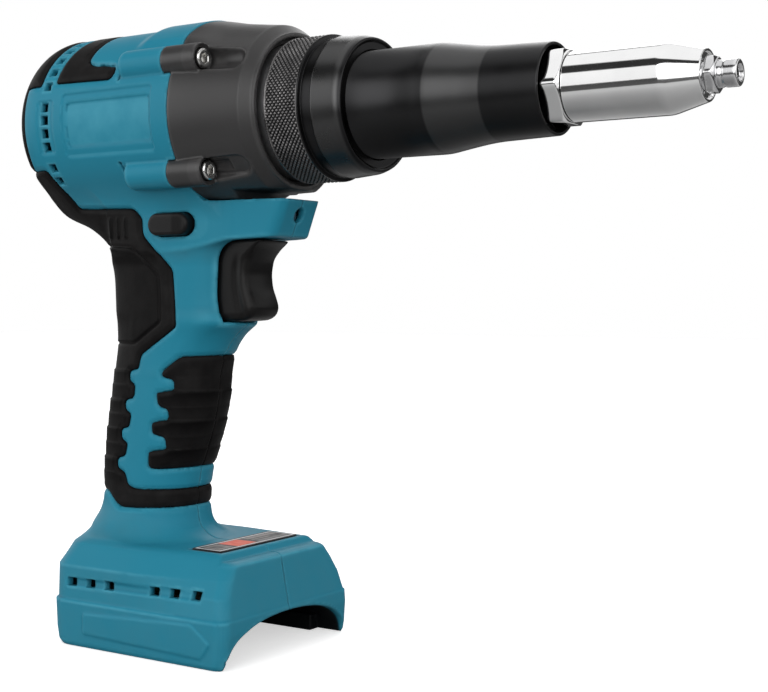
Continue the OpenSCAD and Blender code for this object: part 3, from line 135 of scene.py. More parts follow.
def contour(field, low, high, cell):
    """Skin of a field where it is zero, by dual contouring: the field is read on a grid, finely only near the skin;
    each grid edge that the skin crosses gives a point and a slope, and each grid cell gets the one vertex that fits
    the planes of its edges best. Each crossed edge makes one face of the four cells round it."""
    low, block = np.array(low, float), 6
    count = np.ceil((np.array(high) - low) / (cell * block)).astype(int)
    middle = [low[i] + cell * block * (np.arange(count[i]) + 0.5) for i in range(3)]
    rough = field(*[g.ravel() for g in np.meshgrid(*middle, indexing="ij")])
    value = rough.reshape(count)
    for axis in range(3):
        value = np.repeat(value, block, axis)
    value = np.pad(value, ((0, 1), (0, 1), (0, 1)), mode="edge")
    first = np.stack(np.unravel_index(np.nonzero(np.abs(rough) < 1.25 * cell * block)[0], count), -1) * block
    step = np.stack(np.meshgrid(*[np.arange(block + 1)] * 3, indexing="ij"), -1).reshape(-1, 3)
    at = (first[:, None] + step).reshape(-1, 3)
    value[tuple(at.T)] = field(*(low + cell * at).T)
    shape = np.array(value.shape) - 1
    points, slopes, cells, turned = [], [], [], []
    for axis in range(3):
        ahead = np.diff(value < 0, axis=axis)
        i = np.stack(np.nonzero(ahead), -1)
        j = i.copy()
        j[:, axis] += 1
        va, vb = value[tuple(i.T)], value[tuple(j.T)]
        share = va / (va - vb)
        for _ in range(2):
            p = low + cell * i
            p[:, axis] += cell * share
            share = np.clip(share - field(*p.T) / (vb - va), 0, 1)
        p = low + cell * i
        p[:, axis] += cell * share
        points.append(p)
        slopes.append(slope_of(field, p, 0.1 * cell))
        u, v = (axis + 1) % 3, (axis + 2) % 3
        ring = np.repeat(i[:, None], 4, 1)
        ring[:, :, u] -= [1, 0, 0, 1]
        ring[:, :, v] -= [1, 1, 0, 0]
        cells.append(np.ravel_multi_index(tuple(np.moveaxis(ring, 2, 0)), shape))
        turned.append(va > 0)
    p, n = np.concatenate(points), np.concatenate(slopes)
    faces, turned = np.concatenate(cells), np.concatenate(turned)
    ids, faces = np.unique(faces, return_inverse=True)
    faces = faces.reshape(-1, 4)
    total = len(ids)
    centre = low + cell * (np.stack(np.unravel_index(ids, shape), -1) + 0.5)

    def gathered(per_edge):
        return sum(np.bincount(faces[:, c], per_edge(c), total) for c in range(4))
    number = gathered(lambda c: np.ones(len(p)))
    off = [p - centre[faces[:, c]] for c in range(4)]
    mass = np.stack([gathered(lambda c: off[c][:, k]) for k in range(3)], -1) / number[:, None]
    reach = [np.sum(n * off[c], 1) for c in range(4)]
    right = np.stack([gathered(lambda c: n[:, k] * reach[c]) for k in range(3)], -1)
    planes = np.empty((total, 3, 3))
    for k in range(3):
        for m in range(k, 3):
            planes[:, k, m] = planes[:, m, k] = gathered(lambda c: n[:, k] * n[:, m])
    right = right - np.einsum("ikm,im->ik", planes, mass)
    planes = planes + 0.04 * number[:, None, None] * np.eye(3)
    best = mass + np.linalg.solve(planes, right[:, :, None])[:, :, 0]
    vertices = centre + np.clip(best, -0.5 * cell, 0.5 * cell)
    faces[turned] = faces[turned][:, ::-1]
    return vertices, faces


def slope_of(field, p, h):
    """Unit slope of a field at points, from its change over a step h each way."""
    x, y, z = p.T
    g = np.stack([field(x + h, y, z) - field(x - h, y, z), field(x, y + h, z) - field(x, y - h, z),
                  field(x, y, z + h) - field(x, y, z - h)], -1)
    return g / np.maximum(np.linalg.norm(g, axis=1, keepdims=True), 1e-9)


def lay_mesh(name, vertices, faces, normals=None, marks=None):
    """Object with its place in its mesh: tool millimetres are shifted to the middle of the length and made metres."""
    mesh = bpy.data.meshes.new(name)
    placed = (np.asarray(vertices, float) - [MIDDLE_X, 0, 0]) / 1000
    groups = faces if isinstance(faces, list) else [faces]
    corners = np.concatenate([g.ravel() for g in groups])
    sizes = np.concatenate([np.full(len(g), g.shape[1]) for g in groups])
    mesh.vertices.add(len(placed))
    mesh.vertices.foreach_set("co", placed.astype(np.float32).ravel())
    mesh.loops.add(len(corners))
    mesh.loops.foreach_set("vertex_index", corners.astype(np.int32))
    mesh.polygons.add(len(sizes))
    mesh.polygons.foreach_set("loop_start", (np.cumsum(sizes) - sizes).astype(np.int32))
    mesh.update(calc_edges=True)
    mesh.polygons.foreach_set("use_smooth", np.ones(len(sizes), bool))
    for key, mark in (marks or {}).items():
        mesh.attributes.new(key, "FLOAT", "POINT").data.foreach_set("value", np.asarray(mark, np.float32))
    if normals is not None:
        mesh.normals_split_custom_set_from_vertices(normals.astype(np.float32))
    piece = bpy.data.objects.new(name, mesh)
    bpy.context.scene.collection.objects.link(piece)
    return piece


def moulded(name, field, low, high, cell, painted_shade=None):
    """Moulded piece from a field. Its shading follows the field's slope, and each vertex is marked by how far the skin
    bends there: edge where the field falls slower than the depth inward, hollow where it rises slower outward. A
    painted shade, where given, is one more mark by place, for colour darkened as shade."""
    v, faces = contour(field, low, high, cell)
    n = slope_of(field, v, 0.45 * cell)
    depth = 0.9
    edge = np.clip((field(*(v - depth * n).T) + depth) / (0.3 * depth), 0, 1)
    hollow = np.clip((depth - field(*(v + depth * n).T)) / (0.4 * depth), 0, 1)
    marks = {"edge": edge, "hollow": hollow}
    if painted_shade:
        marks["painted_shade"] = painted_shade(*v.T)
    return lay_mesh(name, v, faces, n, marks)


def barrel_form(x, a, z):
    """Round motor barrel with a rounded rear edge, raised over the top near the gear case."""
    r = np.hypot(a, z - AXIS_H)
    turn = np.arctan2(a, z - AXIS_H)
    r = r - 1.3 * ramp(x, -18.5, -12) * (1 - ramp(turn, 0.70, 0.88))
    return np.maximum(rounded(r - 34.4, -76 - x, 16), x - 8)


HANDLE_Z = [34.3, 42.9, 48, 52, 66, 78.9, 89.9, 100, 110, 115, 120, 123.5, 128.3, 140, 150.2, 155.4, 160, 167.3]
HANDLE_BACK = [-53, -52.2, -51.3, -50.9, -49.8, -48.6, -46.7, -44.9, -43.3, -43, -42.9, -43, -43.1, -44.3, -48.7, -57,
               -68, -76]
HANDLE_FRONT = [-3, -8.2, -9.3, -9.2, -6.9, -2.2, 0.5, 1.8, 3.2, 6.6, 12.2, 11.9, 11.2, 11.6, 12, 12, 12, 12]
HANDLE_HALF = [20, 18, 17.3, 17, 17, 17, 17, 16.9, 16.8, 16.8, 16.8, 16.8, 16.8, 16.9, 17, 17, 17, 17]


def handle_form(x, a, z):
    """Handle: in plan an oval, squarer near the top, whose middle, depth and width follow curves up the handle."""
    back, front = curve(z, HANDLE_Z, HANDLE_BACK), curve(z, HANDLE_Z, HANDLE_FRONT)
    half = curve(z, HANDLE_Z, HANDLE_HALF)
    plan = oval(np.abs(x - (front + back) / 2), a, (front - back) / 2, half, 2.5 + 0.5 * ramp(z, 112, 125))
    return within(plan, z - 180, 30 - z)


def foot_form(x, a, z):
    """Battery foot: in plan a rectangle with rounded corners, drawn in up its height, with a ledge round its middle."""
    rear_side = np.interp(z, [0, 1.5, 16.5, 17.1, 29.5, 37, 41], [37.2, 38, 38, 37.1, 36.6, 31, 25])
    front_half = np.interp(z, [0, 1.5, 16.5, 17.1, 24, 30, 36, 40], [37.2, 38, 38, 37.3, 35.6, 32.3, 28, 24])
    side = rear_side + (front_half - rear_side) * ramp(x, -15, 25)
    front = np.interp(z, [0, 4, 12, 16.5, 17.1, 34.5, 37.5, 40], [32.8, 33.6, 34.2, 33.9, 33.6, 30.2, 27.4, 24])
    back = np.interp(z, [0, 2, 6, 16.5, 17.1, 29.5, 37, 41], [-49.6, -50.4, -51.2, -51.8, -51.3, -51.3, -48.8, -44])
    ahead = x > (front + back) / 2
    plan = rounded(np.where(ahead, x - front, back - x), a - side, np.where(ahead, 4.5, 9.5))
    top = z - 38 + 2.4 * ramp(x, 22.6, 24.8)
    return np.maximum(soft_max(0.86 * plan, top, 2), -z)


lip_side = outline([(-12, 119.6), (14.6, 120.1), (15.4, 119.2), (12.4, 117.2), (9.6, 115), (6.9, 112.2), (4, 108.4),
                    (1, 104), (-12, 103)], 1.2)


def shelf_form(x, a, z):
    """Shelf under the gear case with a leaning front, rounded front corners and a lip below the trigger."""
    lean = (x - 35.7 - 0.4067 * (z - 151)) * 0.926
    half = 14.6 - 0.09 * np.clip(x - 5, 0, 40)
    plan = rounded(lean, a - half, 4)
    rise = 0.036 * np.clip(x - 8, 0, 40)
    shelf = soft_max(soft_max(plan, 149.2 + rise - z, 1.2), z - 163.6 - rise, 0.6)
    return np.maximum(shelf, -34 - x)


def lip_form(x, a, z):
    """Lip below the trigger: a side-view outline that draws back towards its sides."""
    return soft_max(0.9 * lip_side(x + 0.045 * a * a, z), a - 13.5, 3)


def shell_form(x, a, z):
    """Outside of the closed shells before anything is let into it."""
    low = soft_min(handle_form(x, a, z), foot_form(x, a, z), 15 - 8 * ramp(x, -32, -10))
    low = soft_min(low, lip_form(x, a, z), 5)
    low = soft_min(low, shelf_form(x, a, z), 9)
    return soft_min(barrel_form(x, a, z), low, 7)


back_side = outline([
    (-80, 177), (-59.4, 177), (-54.2, 162.8), (-25.2, 161.9), (-21.1, 158.3), (-20.6, 151.8), (-7.4, 138.8),
    (-6, 117.9), (-23, 107.2), (-24.3, 102), (-29.1, 101.1), (-29.1, 97.3), (-26.1, 96.1), (-26.8, 91), (-31.5, 90),
    (-31.3, 86.3), (-28.2, 85), (-29.3, 79.9), (-33.6, 79), (-33.4, 75.2), (-30, 73.8), (-31.4, 68.8), (-35.7, 67.8),
    (-35.5, 64), (-31.6, 62.7), (-30.2, 58), (-27, 56.8), (20, 57.6), (20, 51.2), (-33, 49.2), (-36.4, 50.6),
    (-41.8, 54.8), (-80, 55.2)], 1.6)
front_side = outline([
    (20, 108), (-5.6, 107), (-13.3, 101.3), (-13.5, 99.2), (-8.6, 98.1), (-8.6, 94.4), (-15.8, 93.4),
    (-15.1, 88.2), (-11.1, 87.1), (-11.2, 83.4), (-18.1, 82.2), (-18.1, 77.6), (-12.9, 76.6), (-13, 72.2),
    (-19.9, 71.2), (-20.4, 65.4), (-18.4, 64.4), (20, 66.6)], 1.6)
tongue_side = outline([
    (-51.8, 208.4), (-24, 207.8), (-22.6, 209.5), (-22.6, 211.8), (-24.1, 213.2), (-35.6, 214.4), (-38.7, 216),
    (-39.5, 220.4), (-39.5, 245), (-51.8, 245)], 1.6)
rim_side = outline([(-90, 177), (-67.4, 177), (-67.4, 208), (-59, 208), (-59, 245), (-90, 245)], 1.0)
panel_side = outline([(-46, 181), (-46, 204.4), (-1.6, 204.4), (-1.6, 181)], 1.8)
window_side = outline([(-44.4, 184), (-44.4, 200.9), (-2.6, 200.9), (-2.6, 184)], 1.6)
vent_frame_side = outline([(-58.8, 182.6), (-58.8, 202.2), (-50.4, 202.2), (-50.4, 182.6)], 1.6)
strip_side = outline([(-42.2, 21.9), (-41.4, 25.2), (22.4, 26.2), (22.6, 22.9)], 0.8)
plaque_side = outline([(-32.4, 5.2), (-32.4, 13), (19.6, 15.4), (28.2, 9.4), (24.1, 3.6)], 1.2)
SLITS = [(-18.2, 209, 0.35), (-20, 176, -0.3)]
VENT_TURNS = np.radians([-40.5, -31, -17, -8.5, 0, 8, 22, 32.5, 43, 53, 63, 73])
POSTS = [(-68.9, 171.9), (-68.9, 218.1), (-25.04, 95.34), (-29.2, 57.52), (-34.4, 153.9), (18.5, 155.23),
         (-45.9, 23.56), (23.42, 22.04)]


def pad_edge(x, z):
    """Distance to the nearest edge of the soft pads in side view."""
    return np.minimum(np.minimum(back_side(x, z), front_side(x, z)), np.minimum(tongue_side(x, z), rim_side(x, z)))


def channel_form(x, a, z):
    """Room for a slide-on battery: open below, with a groove over each rail, and the upper half of an oval as its mouth
    through the front wall."""
    grooves = np.maximum(rounded(a - 34, z - 13.5, 7), 6 - z)
    mouth = oval(a, np.maximum(z, 0), 35.2, 15.0, 2.25)
    room = np.maximum(np.minimum(grooves, np.maximum(a - 30, z - 9)), x - 23)
    return np.maximum(np.minimum(room, np.maximum(mouth, 21 - x)), -45 - x)


def vents_form(x, a, z):
    """Square air slots in a row round the rear of the barrel."""
    r = np.hypot(a, z - AXIS_H)
    turn = np.arctan2(z - AXIS_H, a)
    nearest = np.min([np.abs(turn - t) for t in VENT_TURNS], axis=0) * 35
    return within(np.abs(x + 54.8) - 1.75, nearest - 1.75, 30 - r)


BOSS_OUT, BOSS_UP = (28.0, 25.2), (17.2, 21.6)
BUTTON_X, BUTTON_Z, LENS_Z = -5.9, 155.4, 158.2
LABEL_X, LABEL_DEEP, LABEL_WIDE = 13.7, 7.2, 23.1
WALL, PAD_BED, POST_HOLE = 2.8, 1.3, 3.1


def boss_place(a, z):
    """Place beside the line of the nearest case screw: the two below the axis stand further in and further from it."""
    upper = z > AXIS_H
    return a - np.where(upper, *BOSS_OUT), np.abs(z - AXIS_H) - np.where(upper, *BOSS_UP)


def boss_off(a, z):
    """Distance from the line of the nearest case screw."""
    return np.hypot(*boss_place(a, z))


def shell_field(side):
    """One shell: the outside with its pads, panels and marks let in, hollowed to its wall, then every opening cut, and
    parted at the middle plane; side is -1 for the right shell and 1 for the left."""
    def field(x, y, z):
        a = np.abs(y)
        base = shell_form(x, a, z)
        # screw bosses that run out on the barrel, and a shallow lead down to the edge of each pad
        tail = soft_max(boss_off(a, z) - 5.7, -18 - x, 1.6)
        out = soft_min(base, tail, 0.8)
        pad = pad_edge(x, z)
        out = out + np.clip(0.62 - 0.42 * np.maximum(pad, 0), 0, 0.62)
        # side panel with its window and the frame of the vents on the barrel; strip and raised plaque on the foot
        sunk = 0.45 * (1 - ramp(panel_side(x, z), -0.5, 0.1)) + 0.75 * (1 - ramp(window_side(x, z), -0.6, 0.1))
        sunk = sunk + 0.35 * (1 - ramp(vent_frame_side(x, z), -0.4, 0.1))
        low_marks = 0.6 * (1 - ramp(strip_side(x, z), -0.8, 0.4)) - 0.45 * (1 - ramp(plaque_side(x, z), -0.8, 0.6))
        out = out + np.where(z > 150, sunk, np.where(a > 30, low_marks, 0))
        # front end over the shelf, cut for the gear case and its bosses; then the hollow and the beds of the pads
        out = np.maximum(out, np.minimum(x - 6 - 0.47 * np.clip(168 - z, 0, 5), z - 163.7))
        out = np.maximum(out, -np.maximum(boss_off(a, z) - 5.9, 2.4 - x))
        room = np.maximum(base + WALL, 3.0 - channel_form(x, a, z))
        pads = np.maximum(pad - 0.08, -(base + PAD_BED))
        out = soft_max(np.maximum(out, -room), -pads, 0.45)
        # battery room, air slots, trigger pocket, button slot and its shallow surround, hole of the lens
        out = soft_max(out, -channel_form(x, a, z), 0.8)
        out = soft_max(out, -vents_form(x, a, z), 0.5)
        pocket = within(a - 9.5, np.abs(z - 134.6) - 14.9, -18 - x)
        out = soft_max(out, -pocket, 1.6)
        slot = np.hypot(np.maximum(np.abs(x - BUTTON_X) - 5.2, 0), z - BUTTON_Z) - 4.4
        wide = np.hypot(np.maximum(np.abs(x - BUTTON_X - 1.9) - 7.2, 0), z - BUTTON_Z) - 4.6
        out = soft_max(out, -np.minimum(np.maximum(slot, 9 - a), np.maximum(wide, base + 1.9)), 0.7)
        out = np.maximum(out, -np.maximum(np.hypot(a, z - LENS_Z) - 2.7, 20 - x))
        # slits of the barrel, holes of the foot strip, seat of the label, screw holes on the left
        for sx, sz, lean in SLITS:
            along = np.clip(z - sz, -1.6, 1.6)
            out = np.maximum(out, -np.maximum(np.hypot(x - sx - lean * along, z - sz - along) - 0.55, 24 - a))
        holes = (-39.2, -29.9, -20.6, 0.9, 9.9) if side > 0 else (-39.2, -29.9, -20.6, 0.9, 9.9, 19.6)
        square = [np.abs(x - c) for c in holes]
        grille = np.maximum(np.min(square, axis=0) - 2.1, np.abs(z - 24.2 - 0.016 * x) - 1.65)
        out = np.maximum(out, -np.maximum(grille, 29 - a))
        plate = np.maximum(np.abs(x - LABEL_X) - LABEL_DEEP, a - LABEL_WIDE) - 0.3
        out = np.maximum(out, -np.maximum(plate, np.abs(z - 40.2) - 3))
        if side > 0:
            for px, pz in POSTS:
                out = np.maximum(out, -np.maximum(np.hypot(x - px, z - pz) - POST_HOLE, 11 - a))
        return soft_max(out, 0.03 - side * y, 0.15)
    return field


def new_finish(name, base, rough, metallic=0.0):
    """Material with its Principled shader; the plain values that do not change over the surface sit on its sockets."""
    finish = bpy.data.materials.new(name)
    finish.use_nodes = True
    shader = finish.node_tree.nodes["Principled BSDF"]
    shader.inputs["Base Color"].default_value = (*base, 1)
    shader.inputs["Roughness"].default_value = rough
    shader.inputs["Metallic"].default_value = metallic
    return finish, finish.node_tree, shader


def put(tree, kind, **values):
    """Adds a node; names with a leading in_ set its inputs by place or by name, the others set its own properties."""
    node = tree.nodes.new(kind)
    for key, value in values.items():
        if key.startswith("in_"):
            socket = node.inputs[int(key[3:]) if key[3:].isdigit() else key[3:].replace("_", " ")]
            if isinstance(value, bpy.types.NodeSocket):
                tree.links.new(value, socket)
            else:
                socket.default_value = value
        else:
            setattr(node, key, value)
    return node


def blend(tree, mask, under, over):
    """Mix of two colours by a mask; each colour is three numbers, a socket or an earlier mix."""
    sides = [c if isinstance(c, bpy.types.NodeSocket) else c.outputs[2] if isinstance(c, bpy.types.Node) else (*c, 1)
             for c in (under, over)]
    return put(tree, "ShaderNodeMix", data_type="RGBA", in_0=mask, in_6=sides[0], in_7=sides[1])


def colour(shader, mix):
    """Puts a mix on the shader as its base colour."""
    mix.id_data.links.new(mix.outputs[2], shader.inputs["Base Color"])


def laid(shader):
    """Socket that the shader's base colour comes from so far."""
    return shader.inputs["Base Color"].links[0].from_socket


def noise(tree, scale, detail):
    """Noise over the piece's own place, between zero and one; detail is how many finer layers lie on it."""
    spot = put(tree, "ShaderNodeTexCoord").outputs["Object"]
    return put(tree, "ShaderNodeTexNoise", in_Vector=spot, in_Scale=scale, in_Detail=detail).outputs["Fac"]


def reckon(tree, operation, a, b=0.0):
    """Result of one sum with masks or places."""
    return put(tree, "ShaderNodeMath", operation=operation, in_0=a, in_1=b).outputs[0]


def stretch(tree, value, low, high, start=0.0, end=1.0):
    """Straight rise from start, where the value is at low, to end, where it is at high, and level beyond both."""
    return put(tree, "ShaderNodeMapRange", in_0=value, in_1=low, in_2=high, in_3=start, in_4=end).outputs[0]


def gloss(tree, shader, value, edge, low, high):
    """Roughness that follows a noise from low, where the noise is at edge, to high, where it is at one minus edge."""
    tree.links.new(stretch(tree, value, edge, 1 - edge, low, high), shader.inputs["Roughness"])


def new_group(name, inputs, outputs):
    """Shader node group with float inputs and the named outputs."""
    group = bpy.data.node_groups.new(name, "ShaderNodeTree")
    for key, value in inputs.items():
        socket = group.interface.new_socket(name=key, in_out="INPUT", socket_type="NodeSocketFloat")
        socket.default_value = value
    for key in outputs:
        group.interface.new_socket(name=key, in_out="OUTPUT", socket_type="NodeSocketFloat")
    return group, group.nodes.new("NodeGroupInput"), group.nodes.new("NodeGroupOutput")


# grain of a mould: fine spark-eroded pits over slow drifts of tone
grain, gi, go = new_group("mould_grain", {"Scale": 2600.0, "Drift": 30.0}, ["Height", "Tone"])
grain.links.new(noise(grain, gi.outputs["Scale"], 2.0), go.inputs["Height"])
grain.links.new(noise(grain, gi.outputs["Drift"], 4.0), go.inputs["Tone"])

# handling wear and painted light: bends outward are rubbed and painted lighter as a highlight, bends inward hold dust
# and painted shade; noise breaks up both
wear_and_painted_light, wi, wo = new_group("handling_wear_and_painted_light", {"Rub": 1.0, "Dust": 1.0}, ["Rub", "Dust"])
patchy = stretch(wear_and_painted_light, noise(wear_and_painted_light, 140.0, 5.0), 0.3, 0.7, 0.35, 1.0)
for key, out in (("edge", "Rub"), ("hollow", "Dust")):
    mark = put(wear_and_painted_light, "ShaderNodeAttribute", attribute_name=key)
    part = reckon(wear_and_painted_light, "MULTIPLY", mark.outputs["Fac"], patchy)
    wear_and_painted_light.links.new(reckon(wear_and_painted_light, "MULTIPLY", part, wi.outputs[out]), wo.inputs[out])


def plastic(name, base, light, dark, rough, grain_scale, bump, rub_sheen, dust_shade, mirror=0.5):
    """Moulded plastic or rubber: tone drifts between two colours, edges are rubbed lighter with a painted highlight,
    hollows are painted darker as dust and shade.
    """
    finish, tree, shader = new_finish(name, base, rough)
    shader.inputs["Specular IOR Level"].default_value = mirror
    g = put(tree, "ShaderNodeGroup", node_tree=grain, in_Scale=grain_scale, in_Drift=34.0)
    w = put(tree, "ShaderNodeGroup", node_tree=wear_and_painted_light, in_Rub=rub_sheen, in_Dust=dust_shade)
    tone = blend(tree, g.outputs["Tone"], [0.96 * c for c in base], [1.04 * c for c in base])
    # rubbed edges get a lighter colour for wear and painted highlight, hollows a darker one for dust and painted shade
    worn_and_lit = blend(tree, w.outputs["Rub"], tone, light)
    colour(shader, blend(tree, w.outputs["Dust"], worn_and_lit, dark))
    gloss(tree, shader, g.outputs["Tone"], 0.25, rough - 0.05, rough + 0.06)
    bend = put(tree, "ShaderNodeBump", in_Strength=bump, in_Distance=0.0002, in_Height=g.outputs["Height"])
    tree.links.new(bend.outputs[0], shader.inputs["Normal"])
    return finish, tree, shader


teal, tree, shader = plastic("teal_moulding", (0.018, 0.214, 0.314), (0.075, 0.36, 0.48), (0.006, 0.075, 0.120), 0.42,
                             2600.0, 0.10, 0.7, 0.7, 0.11)
# painted shade: the walls of the battery room and its mouth are coloured near black, as the shade inside it
shade_mark = put(tree, "ShaderNodeAttribute", attribute_name="painted_shade")
colour(shader, blend(tree, shade_mark.outputs["Fac"], laid(shader), (0.005, 0.006, 0.007)))


def battery_room_shade(x, y, z):
    """One on the walls of the battery room and of its mouth, which are painted near black as shade, and zero from the
    front rim on.
    """
    return np.clip(1.4 - np.abs(channel_form(x, np.abs(y), z)), 0, 1) * (1 - ramp(x, 30.6, 31.8))


def fit(piece, finish, body, node):
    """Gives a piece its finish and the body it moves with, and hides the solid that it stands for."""
    piece.data.materials.append(finish)
    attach(piece, body)
    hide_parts(node)


for name, side in (("housing_right", -1), ("housing_left", 1)):
    low, high = ((-78, -40, -3), (42, 2, 236)) if side < 0 else ((-78, -2, -3), (42, 40, 236))
    shell = moulded(name + "_shell", shell_field(side), low, high, 0.86, battery_room_shade)
    fit(shell, teal, "body", name)

# Soft grips
# Black rubber over the back of the handle, its front, and the rear and top of the barrel, moulded into recesses of the
# shells. Saw-tooth steps cross the palm and finger sides, and a raised panel fills the palm below the barrel.
palm_panel = outline([(-80, 149.2), (-38, 148.2), (-25.7, 147.6), (-13.3, 136.7), (-12.7, 119.7), (-26, 111.3),
                      (-80, 111.8)], 1.6)


def saw_steps(z, tops, height):
    """Saw-tooth rise down the handle: full height just below each top, fading to nothing over 10.5 mm."""
    drops = [top - z for top in tops]
    return height * np.max([np.clip(1 - d / 10.5, 0, 1) * ramp(d, -0.3, 0.3) for d in drops], axis=0)


def crown(side):
    """Height of a pad over the shell: a little below it at its edge, a little above it 2.4 mm further in."""
    return -0.38 + 0.58 * ramp(-side, 0, 2.4)


def back_rise(x, a, z):
    """Palm pad: crowned, with the panel and its groove, the steps below it and three short upright ribs above it."""
    panel = palm_panel(x, z)
    ribs = [np.hypot(x - c, np.maximum(np.abs(z - 154.7) - 3.2, 0)) for c in (-36.4, -32.5, -28.7)]
    rise = crown(back_side(x, z)) + 0.25 * (1 - ramp(panel, -0.9, 0.1)) - 0.45 * np.exp(-(panel / 0.5) ** 2)
    rise = rise + saw_steps(z, (101.5, 90.3, 79.3, 68), 0.45) * ramp(z, 57, 60)
    rise = rise + saw_steps(z, (95.9, 84.8, 73.6, 62.6), 0.2) * ramp(z, 57, 60)
    return rise + 0.55 * (1 - ramp(np.min(ribs, axis=0), 0.35, 1.1))


def front_rise(x, a, z):
    """Finger pad: crowned, with the steps that the fingers rest on."""
    return crown(front_side(x, z)) + saw_steps(z, (94, 83, 72), 0.4) + saw_steps(z, (99, 88, 77), 0.12)


def bumper_side(x, z):
    """Outline of the bumper: the tongue on top of the barrel, and the rim with the rear cap."""
    return np.minimum(tongue_side(x, z), rim_side(x, z))


def bumper_rise(x, a, z):
    """Bumper: crowned, with a shallow ring round the middle of the rear face."""
    ring = np.hypot(a, z - AXIS_H) - 22
    return crown(bumper_side(x, z)) - 0.5 * np.exp(-(ring / 0.7) ** 2) * (x < -74)


def pad_field(outline_of, rise_of, side):
    """One pad: the space inside its outline between the bottom of its recess and its own raised skin."""
    def field(x, y, z):
        a = np.abs(y)
        base = shell_form(x, a, z)
        pad = soft_max(outline_of(x, z) + 0.1, base - rise_of(x, a, z), 0.9)
        pad = np.maximum(pad, 0.1 - base - PAD_BED)
        if side > 0:
            for px, pz in POSTS:
                pad = soft_max(pad, POST_HOLE + 0.1 - np.hypot(x - px, z - pz), 0.5)
        return soft_max(pad, 0.06 - side * y, 0.7)
    return field


rubber = plastic("grip_rubber", (0.0028, 0.0026, 0.0027), (0.018, 0.017, 0.017), (0.0015, 0.0015, 0.0015), 0.46, 1500.0,
                 0.22, 0.7, 0.5, 0.055)[0]
for side, hand in ((-1, "right"), (1, "left")):
    near, far = (-40, 2) if side < 0 else (-2, 40)
    for node, outline_of, rise_of, low, high in (
            ("back_grip", back_side, back_rise, (-79, near, 48), (12, far, 181)),
            ("front_grip", front_side, front_rise, (-24, near, 60), (14, far, 111)),
            ("top_bumper", bumper_side, bumper_rise, (-79, near, 173), (-19, far, 235))):
        grip = moulded(f"{node}_{hand}_pad", pad_field(outline_of, rise_of, side), low, high, 0.62)
        fit(grip, rubber, "body", f"{node}_{hand}")

# Gear case
# Moulding in black filled nylon that closes the front of the barrel: a coned drum with four screw bosses, a trough
# ahead of each screw, a keel over the shelf and a rounded mouth round the lock ring.
def case_field(x, y, z):
    """Drum by its radius along the axis, keel and bosses joined on, then troughs, screw seats and the bore cut out."""
    a = np.abs(y)
    r = np.hypot(a, z - AXIS_H)
    turn = np.arctan2(a, z - AXIS_H)
    cone_x, cone_r = 35.4, 31.0
    drum = np.where(x < cone_x, curve(x, [0, 6, 12, 20, 28, cone_x], [34.4, 34.3, 33.8, 32.9, 31.9, cone_r]),
                    cone_r - 0.92 * (x - cone_x))
    drum = drum + 1.1 * (1 - ramp(x, 5, 22)) * (1 - ramp(turn, 0.70, 0.88))
    body = soft_max(soft_max(np.where(x < cone_x, 1.0, 0.75) * (r - drum), 6.2 - x, 0.4), x - 40.0, 1.0)
    body = np.minimum(body, np.maximum(np.hypot(r - 27.0, np.minimum(x - 39.4, 0) * 0.3) - 0.9, np.abs(x - 39.0) - 1.0))
    under = 164.1 + 3.1 * ramp(x, 20.5, 22)
    keel = np.maximum(soft_max(a - 12 + 7 * ramp(x, 20, 23), under - z, 0.8), z - 185)
    keel = soft_max(soft_max(keel, 8.6 - x, 1.0), x - 38.8, 1.0)
    body = soft_max(soft_min(body, keel, 3.0), under - z, 0.8)
    body = np.minimum(body, within(r - 31.7, 0.15 - x, x - 8))
    off = boss_off(a, z)
    boss = soft_max(soft_max(off - 5.6, x - 18.2, 1.0), 2.6 - x, 0.3)
    trough = np.maximum(np.hypot(off, np.maximum(x - 30.5, 0)) - 4.7, 17.4 - x)
    trough = np.maximum(trough, np.where(z > AXIS_H, 28.2, 30.2) - r)
    body = soft_max(soft_min(body, boss, 0.7), -trough, 0.8)
    seat = np.minimum(off - 2.2, np.maximum(off - 3.9, 13.4 - x))
    body = soft_max(body, -np.maximum(seat, x - 26), 0.4)
    bore = 26.3 - 2.0 * ramp(x, 24.9, 25.9) + 1.9 * ramp(x, 36.6, 37.6)
    return soft_max(body, 0.8 * (bore - r), 0.5)


nylon = plastic("case_nylon", (0.021, 0.0202, 0.0206), (0.060, 0.058, 0.058), (0.003, 0.003, 0.003), 0.40, 1100.0, 0.16,
                0.8, 0.7, 0.56)[0]
case = moulded("gear_case_casting", case_field, (-2, -38, 161), (44.5, 38, 235), 0.66)
fit(case, nylon, "body", "gear_case")

# Case screws
# Four plated socket-head screws, one in each boss of the gear case, driven from the front into the shells.
def case_screws_field(x, y, z):
    """Round head with an eased rim and a hexagon socket, on a plain shank, at the four bosses."""
    u, v = boss_place(np.abs(y), z)
    off = np.hypot(u, v)
    head = soft_max(soft_max(off - 3.5, x - 18.6, 0.9), 13.7 - x, 0.2)
    socket = within(np.abs(u) - 1.75, np.abs(u) * 0.5 + np.abs(v) * 0.866 - 1.75, 16.0 - x)
    shank = within(off - 1.9, x - 14, -12 - x)
    return np.minimum(soft_max(head, -socket, 0.25), shank)


# turned or rolled metal: fine lines round the axis over a slow mottle
lathe, gi, go = new_group("turned_lines", {"Fine": 9000.0, "Mottle": 90.0}, ["Height", "Tone"])
spot = put(lathe, "ShaderNodeTexCoord")
along = put(lathe, "ShaderNodeMapping", in_Vector=spot.outputs["Object"], in_Scale=(1.0, 0.02, 0.02))
lines = put(lathe, "ShaderNodeTexNoise", in_Vector=along.outputs[0], in_Scale=gi.outputs["Fine"], in_Detail=2.0)
lathe.links.new(lines.outputs["Fac"], go.inputs["Height"])
lathe.links.new(noise(lathe, gi.outputs["Mottle"], 5.0), go.inputs["Tone"])


